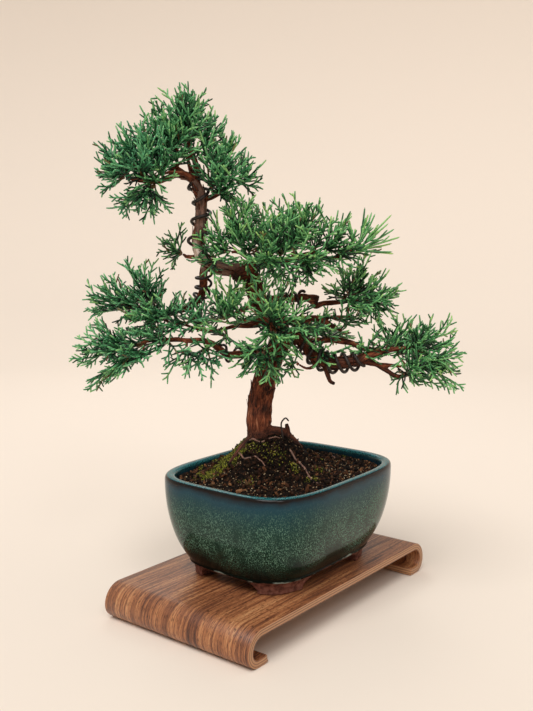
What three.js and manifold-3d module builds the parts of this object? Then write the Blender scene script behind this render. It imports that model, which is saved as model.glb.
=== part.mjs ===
// A juniper bonsai in a glazed pot, standing on a bent wooden display stand.
// Millimetres, +Z up. The stand's long side runs along X.
// Every point of the tree is given in the tree's own frame: x across the tree as it is shown,
// y towards its back, z up, with the origin where the trunk meets the soil.

import * as THREE from 'three';
import { mergeVertices } from 'three/addons/utils/BufferGeometryUtils.js';
import Module from 'manifold-3d';

const wasm = await Module();
wasm.setup();

// ---------------------------------------------------------------- driving dimensions

const GAP = 0.3; // air left between neighbouring pieces

const STAND = {
  length: 296,
  width: 172,
  height: 33,
  plate: 7, // thickness of the bent board
  topBend: 19, // outer radius of the bend from the top to the end
  footBend: 14, // outer radius of the bend from the end to the foot
  footFlat: 5, // flat strip that the stand rests on
  lipBend: 30, // outer radius of the lip that curls up behind the foot
  lipTurn: 15, // degrees
};

const POT = {
  halfLength: 106.5,
  halfWidth: 85,
  x: 3, // the pot's middle on the stand
  y: -5,
  footHeight: 11,
  bodyHeight: 86,
  corner: 4, // exponent of the rounded-rectangle outline
  holeRadius: 9,
  holeSpread: 36, // drain hole to the pot's middle
};

const MESH_PAD = { side: 33, thick: 1.5, cell: 8, bar: 2 };

const SOIL = {
  edge: 123, // height of the soil at the pot's wall
  mound: 37, // height of the mound over that
  moundX: 10, // middle of the mound in the tree's frame
  moundY: 2,
  moundRadius: 36,
};

const TREE = { x: -4, y: 17, z: 154, turn: -52 }; // trunk base, and the turn of the tree's frame

// Round sections along each limb: [x, y, z, diameter].
const TRUNK = [
  [1, 0, -40, 26], [1, 0, -22, 31], [-1, 0, -7, 28], [0, 0, 3, 25], [0, 0, 19, 24], [2, 0, 41, 23.5],
  [8, -2, 69, 22], [16, -3, 87, 20.5], [21, 0, 102, 19.5], [18, 3, 113, 18.5], [7, 6, 127, 18],
  [-2, 7, 142, 17], [-6, 8, 155, 16.5], [-9, 8, 166, 16.5], [-12, 8, 175, 14],
];
const LEADER = [
  [-8, 8, 167, 16], [-18, 6, 167, 15], [-30, 3, 168, 13.5], [-39, 1, 170, 12], [-48, -1, 174, 11.5],
  [-55, -2, 180, 12], [-58, -1, 190, 12.5], [-58, 0, 200, 12.5], [-56, 2, 211, 11.5], [-55, 3, 225, 11],
  [-55, 2, 236, 10.5], [-59, 1, 247, 10], [-65, 0, 255, 9], [-74, -2, 258, 8], [-80, -4, 258, 7],
];
const ROOTS = {
  root_right: [[3, 0, 6, 16], [13, 1, 8, 12], [23, 2, 7, 11], [32, 2, 0, 9], [41, 0, -10, 7]],
  root_stub: [[27, 1, 4, 7], [28, 0, 11, 5.5], [27, 0, 17, 4]],
  root_left: [[-3, -2, 2, 14], [-12, -6, -2, 10], [-20, -12, -10, 7], [-28, -18, -20, 5]],
  root_front: [[1, -4, 2, 13], [4, -12, -3, 9], [10, -22, -12, 6], [14, -32, -22, 5]],
  root_back: [[0, 4, 2, 13], [-3, 14, -2, 9], [-6, 26, -12, 6]],
};
const BRANCHES = {
  fork_stub: [[-12, 4, 165, 14], [-18, -2, 163, 13], [-22, -6, 161, 12]],
  left_wired: [
    [-51, -1, 175, 9], [-53, 2, 166, 8], [-54, 6, 154, 8], [-56, 10, 144, 7.5], [-61, 14, 136, 7],
    [-72, 18, 129, 6.5], [-86, 20, 126, 5.5], [-100, 20, 125, 4.5], [-112, 20, 127, 3.5],
  ],
  left_thin: [
    [9, 2, 117, 6], [-3, 0, 114, 5.5], [-12, -3, 114, 5], [-22, -5, 114, 4.5], [-34, -7, 111, 4],
    [-45, -8, 109, 3.5], [-58, -10, 111, 3], [-72, -12, 116, 2.8], [-85, -12, 117, 2.5],
  ],
  left_low: [
    [11, -3, 88, 10], [-1, -6, 90, 8.5], [-10, -10, 88, 8], [-20, -12, 87, 8], [-30, -14, 87, 7.5],
    [-37, -15, 92, 7], [-45, -16, 98, 6.5], [-53, -16, 101, 6], [-66, -16, 101, 5.5], [-79, -16, 102, 5],
    [-92, -16, 101, 4.5], [-104, -17, 101, 4], [-115, -17, 98, 3],
  ],
  front: [[18, 0, 108, 6], [16, -12, 109, 5], [13, -22, 112, 4], [11, -32, 116, 3]],
  bright: [[3, 4, 121, 6], [-8, -10, 119, 5], [-20, -17, 119, 4], [-29, -20, 118, 3]],
  right_main: [
    [20, 0, 103, 14], [31, -2, 105, 13.5], [40, -5, 102, 13], [46, -8, 96, 13], [53, -10, 87, 13],
    [62, -12, 81, 13], [72, -14, 79, 12.5], [84, -16, 80, 11.5], [95, -18, 82, 10], [104, -20, 86, 8],
    [115, -21, 90, 6.5], [127, -22, 93, 5], [140, -22, 95, 4],
  ],
  right_mid: [[97, -18, 82, 7], [110, -20, 79, 5], [125, -21, 78, 4], [136, -22, 77, 3]],
  right_under: [[108, -20, 81, 5], [121, -20, 73, 5], [133, -21, 67, 5], [142, -22, 69, 4]],
  stub: [[63, -13, 80, 6], [65, -14, 72, 5.5], [67, -15, 65, 4.5], [69, -15, 61, 4], [73, -15, 59, 3.5]],
  sprig: [[55, -12, 84, 5], [53, -13, 76, 4], [46, -14, 74, 3], [38, -16, 78, 2.5]],
  right_second: [
    [22, 2, 99, 9], [40, 5, 98, 7.5], [58, 8, 98, 6.5], [70, 10, 99, 6.5], [82, 11, 97, 6.5],
    [92, 12, 95, 6], [102, 13, 90, 5.5], [114, 14, 89, 4.5], [126, 14, 88, 3.5],
  ],
  right_third: [
    [18, 4, 116, 9], [30, 6, 118, 8], [43, 8, 119, 7.5], [56, 10, 120, 6.5], [64, 12, 117, 5.5],
    [73, 14, 112, 4.5], [82, 15, 107, 3],
  ],
  right_third_up: [[56, 10, 120, 5], [70, 14, 121, 4], [82, 17, 121, 3.5], [92, 19, 121, 2.5]],
  right_upper: [
    [3, 6, 135, 9], [21, 14, 140, 7.5], [35, 18, 139, 7.5], [45, 21, 140, 8], [53, 24, 136, 7.5],
    [56, 25, 131, 6.5], [63, 27, 133, 5.5], [73, 29, 134, 5], [86, 30, 135, 4], [99, 30, 136, 3.5],
    [105, 30, 136, 3],
  ],
  right_upper_stub: [[47, 22, 139, 8], [54, 22, 139, 8], [59, 21, 138, 7]],
  middle: [
    [-7, 8, 169, 12], [5, 4, 173, 8.5], [17, 3, 175, 7.5], [28, 2, 177, 7.5], [40, 1, 180, 7],
    [51, 0, 182, 6.5], [61, -1, 179, 5.5], [70, -2, 179, 4.5], [80, -3, 181, 3.5], [87, -4, 185, 3],
  ],
  middle_front: [[-5, 6, 170, 9], [-6, -12, 176, 6], [-12, -22, 181, 4.5], [-19, -26, 185, 3.5]],
  middle_left: [[-57, -2, 183, 7], [-63, 6, 180, 5], [-71, 13, 180, 4]],
  middle_back: [[-9, 10, 169, 9], [-3, 30, 174, 5.5], [1, 44, 182, 4], [7, 54, 187, 3]],
  back_right: [
    [5, 7, 130, 10], [13, 26, 127, 8], [21, 46, 121, 6.5], [28, 62, 115, 5], [32, 73, 109, 3.5],
  ],
  back_left: [[1, 8, 136, 8], [-9, 26, 131, 6], [-22, 42, 124, 5], [-32, 55, 117, 3.5]],
  crown_left: [
    [-78, -3, 258, 7], [-87, -6, 254, 5.5], [-95, -8, 251, 5], [-104, -8, 251, 4.5], [-114, -8, 252, 4],
    [-121, -7, 253, 3],
  ],
  crown_stub: [[-69, 0, 257, 7], [-77, 0, 262, 7.5], [-84, 0, 265, 7]],
  crown_up: [[-59, 1, 247, 8], [-59, 3, 259, 6.5], [-61, 5, 270, 6], [-65, 6, 281, 5], [-68, 6, 292, 4]],
  crown_right: [[-55, 2, 237, 8], [-48, 3, 236, 6], [-41, 4, 239, 5], [-31, 5, 245, 4], [-26, 5, 248, 3]],
  crown_back: [[-60, 2, 250, 7], [-65, 14, 261, 5], [-69, 20, 273, 4], [-71, 22, 281, 3]],
  crown_front: [[-63, 0, 254, 7], [-70, -10, 258, 4.5], [-81, -16, 259, 3.5], [-98, -15, 255, 2.6]],
  crown_twig: [[-63, 5, 274, 4], [-71, 2, 276, 3.5], [-78, -1, 281, 3]],
};

// Wires wound round a limb: the limb, where along it they start and end (0 to 1), turns, the turn
// that they start at, the wire's radius and the slack between wire and bark.
const WIRES = {
  leader_wire: { on: 'leader', from: 0.36, to: 0.86, turns: 4, start: 0.2, radius: 1.6, slack: 1.5 },
  left_wire: { on: 'left_wired', from: 0.08, to: 0.5, turns: 4, start: 0.3, radius: 1.3, slack: 2.2 },
  left_low_wire: { on: 'left_low', from: 0.2, to: 0.42, turns: 1.6, start: 0.2, radius: 1.3, slack: 1.2 },
  right_wire_a: {
    on: 'right_main', from: 0.17, to: 0.68, turns: 3.5, start: 0.4, radius: 1.6, slack: 1.6,
  },
  right_wire_b: {
    on: 'right_main', from: 0.17, to: 0.68, turns: 3.5, start: 0.9, radius: 1.6, slack: 1.6,
  },
  upper_right_wire: {
    on: 'right_upper', from: 0.22, to: 0.4, turns: 2, start: 0.6, radius: 1.5, slack: 0.8,
  },
};
const ANCHOR_WIRE = {
  radius: 0.8,
  route: [[24, -8, -4], [23, -9, 6], [22, -9, 13], [22, -9, 20], [26, -8, 24], [29, -8, 21]],
};

// Leafy shoots: where the green starts, then the tip of each spray.
const SHOOTS = {
  crown_left_tip: [[-124, -7, 254], [-156, -12, 274], [-157, -2, 260], [-152, -6, 291], [-153, -14, 237]],
  crown_left_top: [[-112, -7, 256], [-142, -2, 299], [-125, -10, 303], [-113, -4, 312]],
  crown_left_fan: [[-104, -8, 247], [-137, -10, 221], [-117, -14, 224], [-102, -8, 213], [-86, -4, 228]],
  crown_left_front: [[-103, -16, 254], [-126, -44, 269], [-105, -42, 277], [-98, -22, 298]],
  crown_left_back: [[-102, 8, 259], [-139, 36, 284], [-112, 40, 296], [-103, 8, 319]],
  peak: [[-69, 6, 296], [-59, 4, 340], [-71, 8, 341], [-85, 0, 338]],
  peak_left: [[-80, -3, 282], [-102, 2, 328], [-90, -20, 318], [-78, -38, 307], [-60, -34, 304]],
  peak_right: [[-60, 6, 281], [-44, 8, 322], [-33, 4, 307]],
  peak_back: [[-71, 24, 283], [-78, 40, 325], [-59, 44, 310]],
  crown_right_top: [[-43, 4, 253], [-22, 4, 291], [-29, 10, 300]],
  crown_right_tip: [[-24, 5, 249], [3, 4, 267], [-9, 8, 282], [3, 2, 244]],
  crown_right_low: [[-38, -2, 240], [-24, -38, 261], [-41, -30, 262], [-12, 8, 225], [-25, -4, 221]],
  crown_right_back: [[-40, 16, 250], [-23, 44, 275], [-47, 40, 285]],
  middle_left: [[-74, 16, 182], [-98, 20, 192], [-82, 18, 206], [-87, 14, 171]],
  middle_front_left: [[-25, -28, 185], [-47, -36, 198], [-41, -26, 218], [-33, -48, 176]],
  middle_top_left: [[-16, -20, 187], [-25, -14, 232], [-12, -10, 237]],
  middle_top: [[8, 0, 180], [3, 2, 231], [16, 6, 230], [3, -6, 152], [18, -4, 152]],
  middle_top_right: [[32, 1, 185], [28, 0, 238], [41, 6, 236], [59, 2, 231]],
  middle_right: [[63, -2, 184], [70, -2, 223], [85, 0, 214], [89, -6, 196]],
  middle_front_mid: [[7, -20, 176], [-13, -54, 180], [9, -56, 187], [29, -50, 182]],
  middle_front_right: [[39, -7, 176], [38, -44, 187], [58, -36, 185], [51, -2, 158], [68, -6, 165]],
  middle_back_top: [[8, 56, 188], [-24, 64, 210], [3, 60, 220], [42, 66, 210], [38, 84, 190]],
  right_whips: [
    [90, -4, 186], [86, -4, 214], [108, -2, 224], [127, -4, 217], [133, 0, 198], [133, -4, 184],
  ],
  left_upper_tip: [[-115, 20, 128], [-170, 24, 125], [-173, 18, 145], [-150, 24, 162]],
  left_upper_top: [[-104, 21, 131], [-133, 18, 175], [-110, 20, 171], [-95, 26, 153]],
  left_upper_inner: [
    [-88, 13, 123], [-80, 22, 144], [-70, 14, 140], [-97, 6, 117], [-121, -24, 123], [-100, -28, 126],
  ],
  left_upper_back: [[-108, 32, 125], [-146, 60, 135], [-114, 66, 138]],
  left_low_tip: [[-117, -17, 97], [-180, -20, 101], [-161, -14, 119], [-183, -14, 74]],
  left_low_front: [[-109, -22, 93], [-165, -22, 54], [-143, -26, 64], [-130, -54, 95], [-110, -58, 86]],
  left_low_inner: [[-69, -18, 95], [-87, -23, 68], [-43, -26, 72]],
  left_low_back: [[-94, 0, 104], [-131, 24, 103], [-104, 30, 110]],
  left_centre: [[-54, -10, 114], [-66, -12, 138], [-50, -8, 139], [-77, -20, 108]],
  bright_shoots: [[-31, -21, 120], [-43, -22, 152], [-27, -18, 159], [-12, -13, 154]],
  centre_top: [[11, -34, 119], [-1, -34, 154], [24, -28, 155], [39, -32, 126]],
  centre_front: [[12, -35, 112], [0, -66, 109], [23, -62, 105], [37, -40, 108]],
  centre_low: [[3, -22, 91], [-18, -34, 66], [-23, -30, 82], [13, -38, 68]],
  right_upper_top: [[91, 31, 139], [71, 30, 147], [87, 32, 172], [106, 30, 179], [119, 32, 164]],
  right_upper_tip: [[108, 30, 136], [139, 30, 145], [137, 26, 123], [112, 22, 111]],
  right_upper_front: [[88, 16, 133], [87, -16, 128], [112, -12, 134]],
  right_upper_back: [[94, 44, 134], [101, 74, 144], [128, 66, 138]],
  end_left: [[130, 14, 89], [118, 2, 117], [140, -4, 120], [167, 34, 96], [178, 26, 81]],
  end_top: [[144, -22, 96], [151, -18, 119], [167, -14, 120], [182, -20, 112]],
  end_tip: [[140, -22, 78], [189, -24, 93], [197, -24, 58], [179, -20, 77]],
  end_front: [[139, -30, 72], [151, -56, 95], [139, -56, 78], [169, -24, 62], [130, -26, 58]],
  back_low: [[33, 76, 108], [59, 100, 91], [76, 92, 104], [100, 96, 89]],
  back_left_low: [[-35, 58, 116], [-66, 84, 109], [-42, 90, 126]],
  inner_sprig: [[36, -16, 79], [28, -18, 89], [31, -20, 68]],
};

const SPRAY = {
  stem: 1.15, // radius of a spray's three-sided stem where it starts
  tip: 0.8,
  whip: 0.9, // radius that a whip keeps clear
  knot: 2.2, // radius of the knot where the sprays of a shoot part
  whorl: 1.8, // length of stem that three whips leave together
  long: 52, // a spray longer than this has a third whorl
  reach: 0.4, // length of the whips as a share of the spray's own
  shortest: 10,
  longest: 19,
};

// ---------------------------------------------------------------- solids

const welded = (geometry) => {
  const bare = geometry.clone();
  bare.deleteAttribute('normal');
  bare.deleteAttribute('uv');
  return mergeVertices(bare, 1e-4);
};

const solidOf = (geometry) => {
  const merged = welded(geometry);
  return new wasm.Manifold(new wasm.Mesh({
    numProp: 3,
    vertProperties: new Float32Array(merged.attributes.position.array),
    triVerts: new Uint32Array(merged.index.array),
  }));
};

const geometryOf = (solid) => {
  const mesh = solid.getMesh();
  const geometry = new THREE.BufferGeometry();
  geometry.setAttribute('position', new THREE.BufferAttribute(mesh.vertProperties, 3));
  geometry.setIndex(new THREE.BufferAttribute(mesh.triVerts, 1));
  geometry.computeVertexNormals();
  return geometry;
};

const joined = (solids) => wasm.Manifold.union(solids);

// Loose scraps that a cut leaves are dropped: the largest body stays.
const largestBody = (solid) => {
  const bodies = solid.decompose().sort((a, b) => b.volume() - a.volume());
  return bodies[0];
};

const box = (width, depth, height, x, y, z) => {
  const geometry = new THREE.BoxGeometry(width, depth, height);
  geometry.translate(x, y, z);
  return solidOf(geometry);
};

// ---------------------------------------------------------------- frames and curves

const treeTurn = THREE.MathUtils.degToRad(TREE.turn);
const treePoint = ([x, y, z]) => new THREE.Vector3(x, y, z)
  .applyAxisAngle(new THREE.Vector3(0, 0, 1), treeTurn)
  .add(new THREE.Vector3(TREE.x, TREE.y, TREE.z));

// A limb is a curve with a radius that runs from section to section.
const limbOf = (sections) => {
  const curve = new THREE.CatmullRomCurve3(sections.map(treePoint), false, 'centripetal');
  const radii = sections.map((section) => section[3] / 2);
  const radiusAt = (s) => {
    const place = curve.getUtoTmapping(s, null) * (radii.length - 1);
    const index = Math.min(Math.floor(place), radii.length - 2);
    return THREE.MathUtils.lerp(radii[index], radii[index + 1], place - index);
  };
  return { curve, radiusAt, length: curve.getLength() };
};

// A cylinder bent along a curve, with its radius given along it.
const bentGeometry = (curve, radiusAt, sides, steps) => {
  const geometry = new THREE.CylinderGeometry(1, 1, 1, sides, steps);
  const frames = curve.computeFrenetFrames(steps, false);
  const position = geometry.attributes.position;
  const vertex = new THREE.Vector3();
  for (let i = 0; i < position.count; i += 1) {
    vertex.fromBufferAttribute(position, i);
    const along = THREE.MathUtils.clamp(vertex.y + 0.5, 0, 1);
    const frame = Math.round(along * steps);
    const radius = radiusAt(along);
    const point = curve.getPointAt(along)
      .addScaledVector(frames.normals[frame], vertex.x * radius)
      .addScaledVector(frames.binormals[frame], -vertex.z * radius);
    position.setXYZ(i, point.x, point.y, point.z);
  }
  return welded(geometry);
};

const bentTube = (...shape) => solidOf(bentGeometry(...shape));

const limbSides = (diameter) => {
  if (diameter > 18) return 9;
  if (diameter > 11) return 6;
  return diameter > 6.5 ? 5 : 4;
};

const limbSolid = (limb, diameter, grown = 0) => {
  const steps = Math.max(2, Math.round(limb.length / Math.max(16, 1.1 * diameter)));
  return bentTube(limb.curve, (s) => limb.radiusAt(s) + grown, limbSides(diameter), steps);
};

// ---------------------------------------------------------------- keeping clear

// Everything that grows is also kept as short round bars, so that a new whip can be bent clear.
const taken = [];
const take = (owner, a, b, radius) => taken.push({ owner, a, b, radius });

const takeCurve = (owner, curve, radiusAt, steps) => {
  for (let i = 0; i < steps; i += 1) {
    const s0 = i / steps;
    const s1 = (i + 1) / steps;
    take(owner, curve.getPointAt(s0), curve.getPointAt(s1), Math.max(radiusAt(s0), radiusAt(s1)));
  }
};

// Shortest distance between two straight bars.
const barDistance = (a0, a1, b0, b1) => {
  const u = a1.clone().sub(a0);
  const v = b1.clone().sub(b0);
  const w = a0.clone().sub(b0);
  const uu = u.dot(u);
  const uv = u.dot(v);
  const vv = v.dot(v);
  const uw = u.dot(w);
  const vw = v.dot(w);
  const wide = uu * vv - uv * uv;
  let s = wide > 1e-9 ? THREE.MathUtils.clamp((uv * vw - vv * uw) / wide, 0, 1) : 0;
  const t = THREE.MathUtils.clamp((uv * s + vw) / vv, 0, 1);
  s = THREE.MathUtils.clamp((uv * t - uw) / uu, 0, 1);
  return a0.clone().addScaledVector(u, s).distanceTo(b0.clone().addScaledVector(v, t));
};

const isClear = (owner, a, b, radius) => taken.every((bar) => bar.owner === owner
  || a.distanceTo(bar.a) > a.distanceTo(b) + bar.a.distanceTo(bar.b) + radius + bar.radius + GAP
  || barDistance(a, b, bar.a, bar.b) > radius + bar.radius + GAP);

// ---------------------------------------------------------------- stand

const arcPoints = (x, z, radius, fromDegrees, toDegrees) => {
  const from = THREE.MathUtils.degToRad(fromDegrees);
  const to = THREE.MathUtils.degToRad(toDegrees);
  const steps = Math.max(2, Math.ceil(Math.abs(toDegrees - fromDegrees) / 13));
  return new THREE.EllipseCurve(x, z, radius, radius, from, to, to < from).getPoints(steps);
};

// The board seen along Y: one end is drawn, and the other is its mirror image.
const makeStand = () => {
  const { length, width, height, plate, topBend, footBend, footFlat, lipBend, lipTurn } = STAND;
  const topX = length / 2 - topBend;
  const footX = length / 2 - footBend;
  const lipX = footX - footFlat;
  const lipEnd = -90 - lipTurn;
  const right = [
    ...arcPoints(topX, height - topBend, topBend, 90, 0),
    ...arcPoints(footX, footBend, footBend, 0, -90),
    ...arcPoints(lipX, lipBend, lipBend, -90, lipEnd),
    ...arcPoints(lipX, lipBend, lipBend - plate, lipEnd, -90),
    ...arcPoints(footX, footBend, footBend - plate, -90, 0),
    ...arcPoints(topX, height - topBend, topBend - plate, 0, 90),
  ];
  const left = right.map((point) => new THREE.Vector2(-point.x, point.y)).reverse();
  const shape = new THREE.Shape([...right, ...left]);
  const geometry = new THREE.ExtrudeGeometry(shape, { depth: width, steps: 1, bevelEnabled: false });
  geometry.rotateX(Math.PI / 2);
  geometry.translate(0, width / 2, 0);
  return solidOf(geometry);
};

// ---------------------------------------------------------------- pot

const POT_SIDES = 28;
const potFloor = STAND.height + GAP + POT.footHeight;

// Half the pot's width at the level f (0 at the underside, 1 at the rim).
const wallOutside = [[0, 63], [0.06, 66.5], [0.25, 75], [0.5, 81.3], [0.75, 84.5], [0.94, 85]];
const rimTop = [[0.985, 84.5], [1, 82.5], [1, 78.5], [0.985, 76.5]];
const wallInside = [[0.9, 75.5], [0.5, 71], [0.22, 61.5], [0.1, 51]];
const insideFloor = 0.1;

const signedPower = (value, power) => {
  if (Math.abs(value) < 1e-9) return 0;
  return Math.sign(value) * Math.abs(value) ** power;
};

// A point of the rounded-rectangle outline whose half width is radius, in the direction (c, s).
const outlinePoint = (radius, c, s) => {
  const power = 2 / POT.corner;
  const longer = (POT.halfLength - POT.halfWidth) * Math.min(1, radius / 30);
  return [
    POT.x + (radius + longer) * signedPower(c, power),
    POT.y + radius * signedPower(s, power),
  ];
};

// A turned form whose rings are then drawn out to the pot's outline.
const turnedToOutline = (profile) => {
  const points = profile.map(([f, radius]) => new THREE.Vector2(radius, potFloor + f * POT.bodyHeight));
  const geometry = new THREE.LatheGeometry(points, POT_SIDES);
  const position = geometry.attributes.position;
  for (let i = 0; i < position.count; i += 1) {
    const x = position.getX(i);
    const z = position.getZ(i);
    const radius = Math.hypot(x, z);
    const [px, py] = radius > 1e-6 ? outlinePoint(radius, x / radius, -z / radius) : [POT.x, POT.y];
    position.setXYZ(i, px, py, position.getY(i));
  }
  return solidOf(geometry);
};

// A cove-sided arch under the pot, wide at the stand and narrower under the glaze.
const archCut = (halfWide, halfNarrow, reach) => {
  const height = POT.footHeight;
  const shape = new THREE.Shape();
  shape.moveTo(-halfWide, -1);
  shape.lineTo(halfWide, -1);
  shape.lineTo(halfWide, height * 0.25);
  shape.quadraticCurveTo(halfWide - 2, height * 0.7, halfNarrow, height);
  shape.lineTo(-halfNarrow, height);
  shape.quadraticCurveTo(-halfWide + 2, height * 0.7, -halfWide, height * 0.25);
  shape.closePath();
  const settings = { depth: 2 * reach, bevelEnabled: false, curveSegments: 2 };
  const geometry = new THREE.ExtrudeGeometry(shape, settings);
  geometry.rotateX(Math.PI / 2);
  geometry.translate(0, reach, STAND.height + GAP);
  return geometry;
};

const drainHoles = () => [-1, 1].map((side) => {
  const geometry = new THREE.CylinderGeometry(POT.holeRadius, POT.holeRadius, 40, 20);
  geometry.rotateX(Math.PI / 2);
  geometry.translate(POT.x + side * POT.holeSpread, POT.y, potFloor);
  return solidOf(geometry);
});

const makePot = () => {
  const body = turnedToOutline([[0, 0], ...wallOutside, ...rimTop, ...wallInside, [insideFloor, 0]]);
  const footShare = POT.footHeight / POT.bodyHeight;
  const ring = turnedToOutline([[-footShare, 0], [-footShare, 61], [0.02, 63.5], [0.02, 0]]);
  const ringHole = turnedToOutline([[-footShare * 2, 0], [-footShare * 2, 46], [0, 46], [0, 0]]);
  const alongY = archCut(45, 34, POT.halfWidth);
  alongY.translate(POT.x, POT.y, 0);
  const alongX = archCut(34, 27, POT.halfLength);
  alongX.rotateZ(Math.PI / 2);
  alongX.translate(POT.x, POT.y, 0);
  const feet = ring.subtract(joined([ringHole, solidOf(alongY), solidOf(alongX)]));
  return joined([body, feet]).subtract(joined(drainHoles()));
};

// ---------------------------------------------------------------- mesh pads over the drain holes

const padBottom = potFloor + insideFloor * POT.bodyHeight + GAP;

const makeMeshPad = (side) => {
  const { side: width, thick, cell, bar } = MESH_PAD;
  const x = POT.x + side * POT.holeSpread;
  const z = padBottom + thick / 2;
  const cells = [-1, 0, 1].flatMap((row) => [-1, 0, 1].map((column) => box(
    cell, cell, 2 * thick, x + row * (cell + bar), POT.y + column * (cell + bar), z,
  )));
  return box(width, width, thick, x, POT.y, z).subtract(joined(cells));
};

// ---------------------------------------------------------------- soil

const moundMiddle = treePoint([SOIL.moundX, SOIL.moundY, 0]);

const soilHeight = (x, y) => {
  const away = Math.hypot(x - moundMiddle.x, y - moundMiddle.y) / SOIL.moundRadius;
  return SOIL.edge + SOIL.mound / (1 + away ** 4);
};

// Rings from the middle of the underside out to the wall, up it, and in again over the top.
const makeSoil = () => {
  const inside = [...wallInside].reverse().map(([f, radius]) => [f, radius - 2 * GAP]);
  const below = inside.filter(([f]) => potFloor + f * POT.bodyHeight < SOIL.edge - 4);
  const floor = insideFloor + GAP / POT.bodyHeight;
  const wall = [[floor, 0], [floor, 50], ...below.slice(1)];
  const wallRadius = wallInside[0][1] - 2 * GAP;
  const shares = [1, 0.8, 0.62, 0.46, 0.33, 0.2];
  const topRings = shares.map((share) => [-share, wallRadius]);
  const points = [...wall, ...topRings].map(([, radius], ring) => new THREE.Vector2(radius, ring));
  points.push(new THREE.Vector2(0, wall.length + topRings.length));
  const geometry = new THREE.LatheGeometry(points, POT_SIDES);
  const position = geometry.attributes.position;
  for (let i = 0; i < position.count; i += 1) {
    const ring = Math.round(position.getY(i));
    const x = position.getX(i);
    const z = position.getZ(i);
    const radius = Math.hypot(x, z);
    const [px, py] = radius > 1e-6 ? outlinePoint(radius, x / radius, -z / radius) : [POT.x, POT.y];
    if (ring < wall.length) {
      position.setXYZ(i, px, py, potFloor + wall[ring][0] * POT.bodyHeight);
    } else {
      const share = shares[ring - wall.length] ?? 0;
      const tx = THREE.MathUtils.lerp(moundMiddle.x, px, share);
      const ty = THREE.MathUtils.lerp(moundMiddle.y, py, share);
      const middle = share > 0;
      position.setXYZ(
        i,
        middle ? tx : moundMiddle.x,
        middle ? ty : moundMiddle.y,
        middle ? soilHeight(tx, ty) : SOIL.edge + SOIL.mound,
      );
    }
  }
  return solidOf(geometry);
};

// ---------------------------------------------------------------- tree

const limbs = {};
const addLimb = (name, sections) => {
  limbs[name] = { ...limbOf(sections), diameter: Math.max(...sections.map((section) => section[3])) };
};
addLimb('trunk', TRUNK);
addLimb('leader', LEADER);
Object.entries({ ...ROOTS, ...BRANCHES }).forEach(([name, sections]) => addLimb(name, sections));
Object.values(limbs).forEach((limb) => {
  takeCurve('tree', limb.curve, limb.radiusAt, Math.max(4, Math.round(limb.length / 6)));
});

const nearestOnLimbs = (point) => {
  let best = { distance: Infinity };
  Object.entries(limbs).forEach(([name, limb]) => {
    for (let i = 0; i <= 40; i += 1) {
      const on = limb.curve.getPointAt(i / 40);
      const distance = on.distanceTo(point);
      if (distance < best.distance) best = { distance, on, name, s: i / 40 };
    }
  });
  return best;
};

// ---------------------------------------------------------------- wires

class WindingCurve extends THREE.Curve {
  constructor(limb, wire) {
    super();
    this.limb = limb;
    this.wire = wire;
    this.frames = limb.curve.computeFrenetFrames(200, false);
  }

  getPoint(t, target = new THREE.Vector3()) {
    const { from, to, turns, start, radius, slack } = this.wire;
    const s = THREE.MathUtils.lerp(from, to, t);
    const frame = Math.round(s * 200);
    const angle = 2 * Math.PI * (start + turns * t);
    const reach = this.limb.radiusAt(s) + radius + slack;
    return target.copy(this.limb.curve.getPointAt(s))
      .addScaledVector(this.frames.normals[frame], Math.cos(angle) * reach)
      .addScaledVector(this.frames.binormals[frame], Math.sin(angle) * reach);
  }
}

const WIRE_STEPS_PER_TURN = 8;
const wireCurves = Object.fromEntries(Object.entries(WIRES)
  .map(([name, wire]) => [name, new WindingCurve(limbs[wire.on], wire)]));
wireCurves.anchor_wire = new THREE.CatmullRomCurve3(ANCHOR_WIRE.route.map(treePoint));

const wireRadius = (name) => (WIRES[name] ? WIRES[name].radius : ANCHOR_WIRE.radius);
const wireSteps = (name) => (WIRES[name] ? Math.round(WIRES[name].turns * WIRE_STEPS_PER_TURN) : 8);
const makeWire = (name, grown = 0) => bentTube(
  wireCurves[name], () => wireRadius(name) + grown, 4, wireSteps(name),
);
Object.keys(wireCurves).forEach((name) => {
  takeCurve(name, wireCurves[name], () => wireRadius(name), wireSteps(name));
});

// ---------------------------------------------------------------- leafy shoots

// The same keys always give the same number from 0 to 1.
const chance = (a, b, c) => {
  const wave = Math.sin(a * 127.1 + b * 311.7 + c * 74.7) * 43758.5453;
  return wave - Math.floor(wave);
};

const UP = new THREE.Vector3(0, 0, 1);

// A spray's stem sets out flat and turns to its tip.
const sprayCurve = (from, to, push) => {
  const middle = new THREE.Vector3(
    THREE.MathUtils.lerp(from.x, to.x, 0.6),
    THREE.MathUtils.lerp(from.y, to.y, 0.6),
    THREE.MathUtils.lerp(from.z, to.z, 0.3),
  ).add(push);
  return new THREE.QuadraticBezierCurve3(from, middle, to);
};

// The first stretch of a spray always lies beside its own twig, so it isn't tested.
const curveIsClear = (owner, curve, radius) => {
  const points = curve.getPoints(7).slice(1);
  return points.slice(1).every((point, i) => isClear(owner, points[i], point, radius));
};

const clearSprayCurve = (owner, from, to) => {
  const side = to.clone().sub(from).cross(UP).normalize();
  const pushes = [0, 5, -5, 10, -10].flatMap((amount) => [
    side.clone().multiplyScalar(amount),
    UP.clone().multiplyScalar(amount),
  ]);
  const curves = pushes.map((push) => sprayCurve(from, to, push));
  return curves.find((curve) => curveIsClear(owner, curve, SPRAY.stem));
};

// A whip leans out from its stem, less and less towards the tip, and a little upwards.
const whipDirection = (t, tangent, out) => {
  const open = THREE.MathUtils.degToRad(THREE.MathUtils.lerp(54, 32, t));
  const direction = tangent.clone().multiplyScalar(Math.cos(open)).addScaledVector(out, Math.sin(open));
  direction.z += 0.15;
  return direction.normalize();
};

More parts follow.
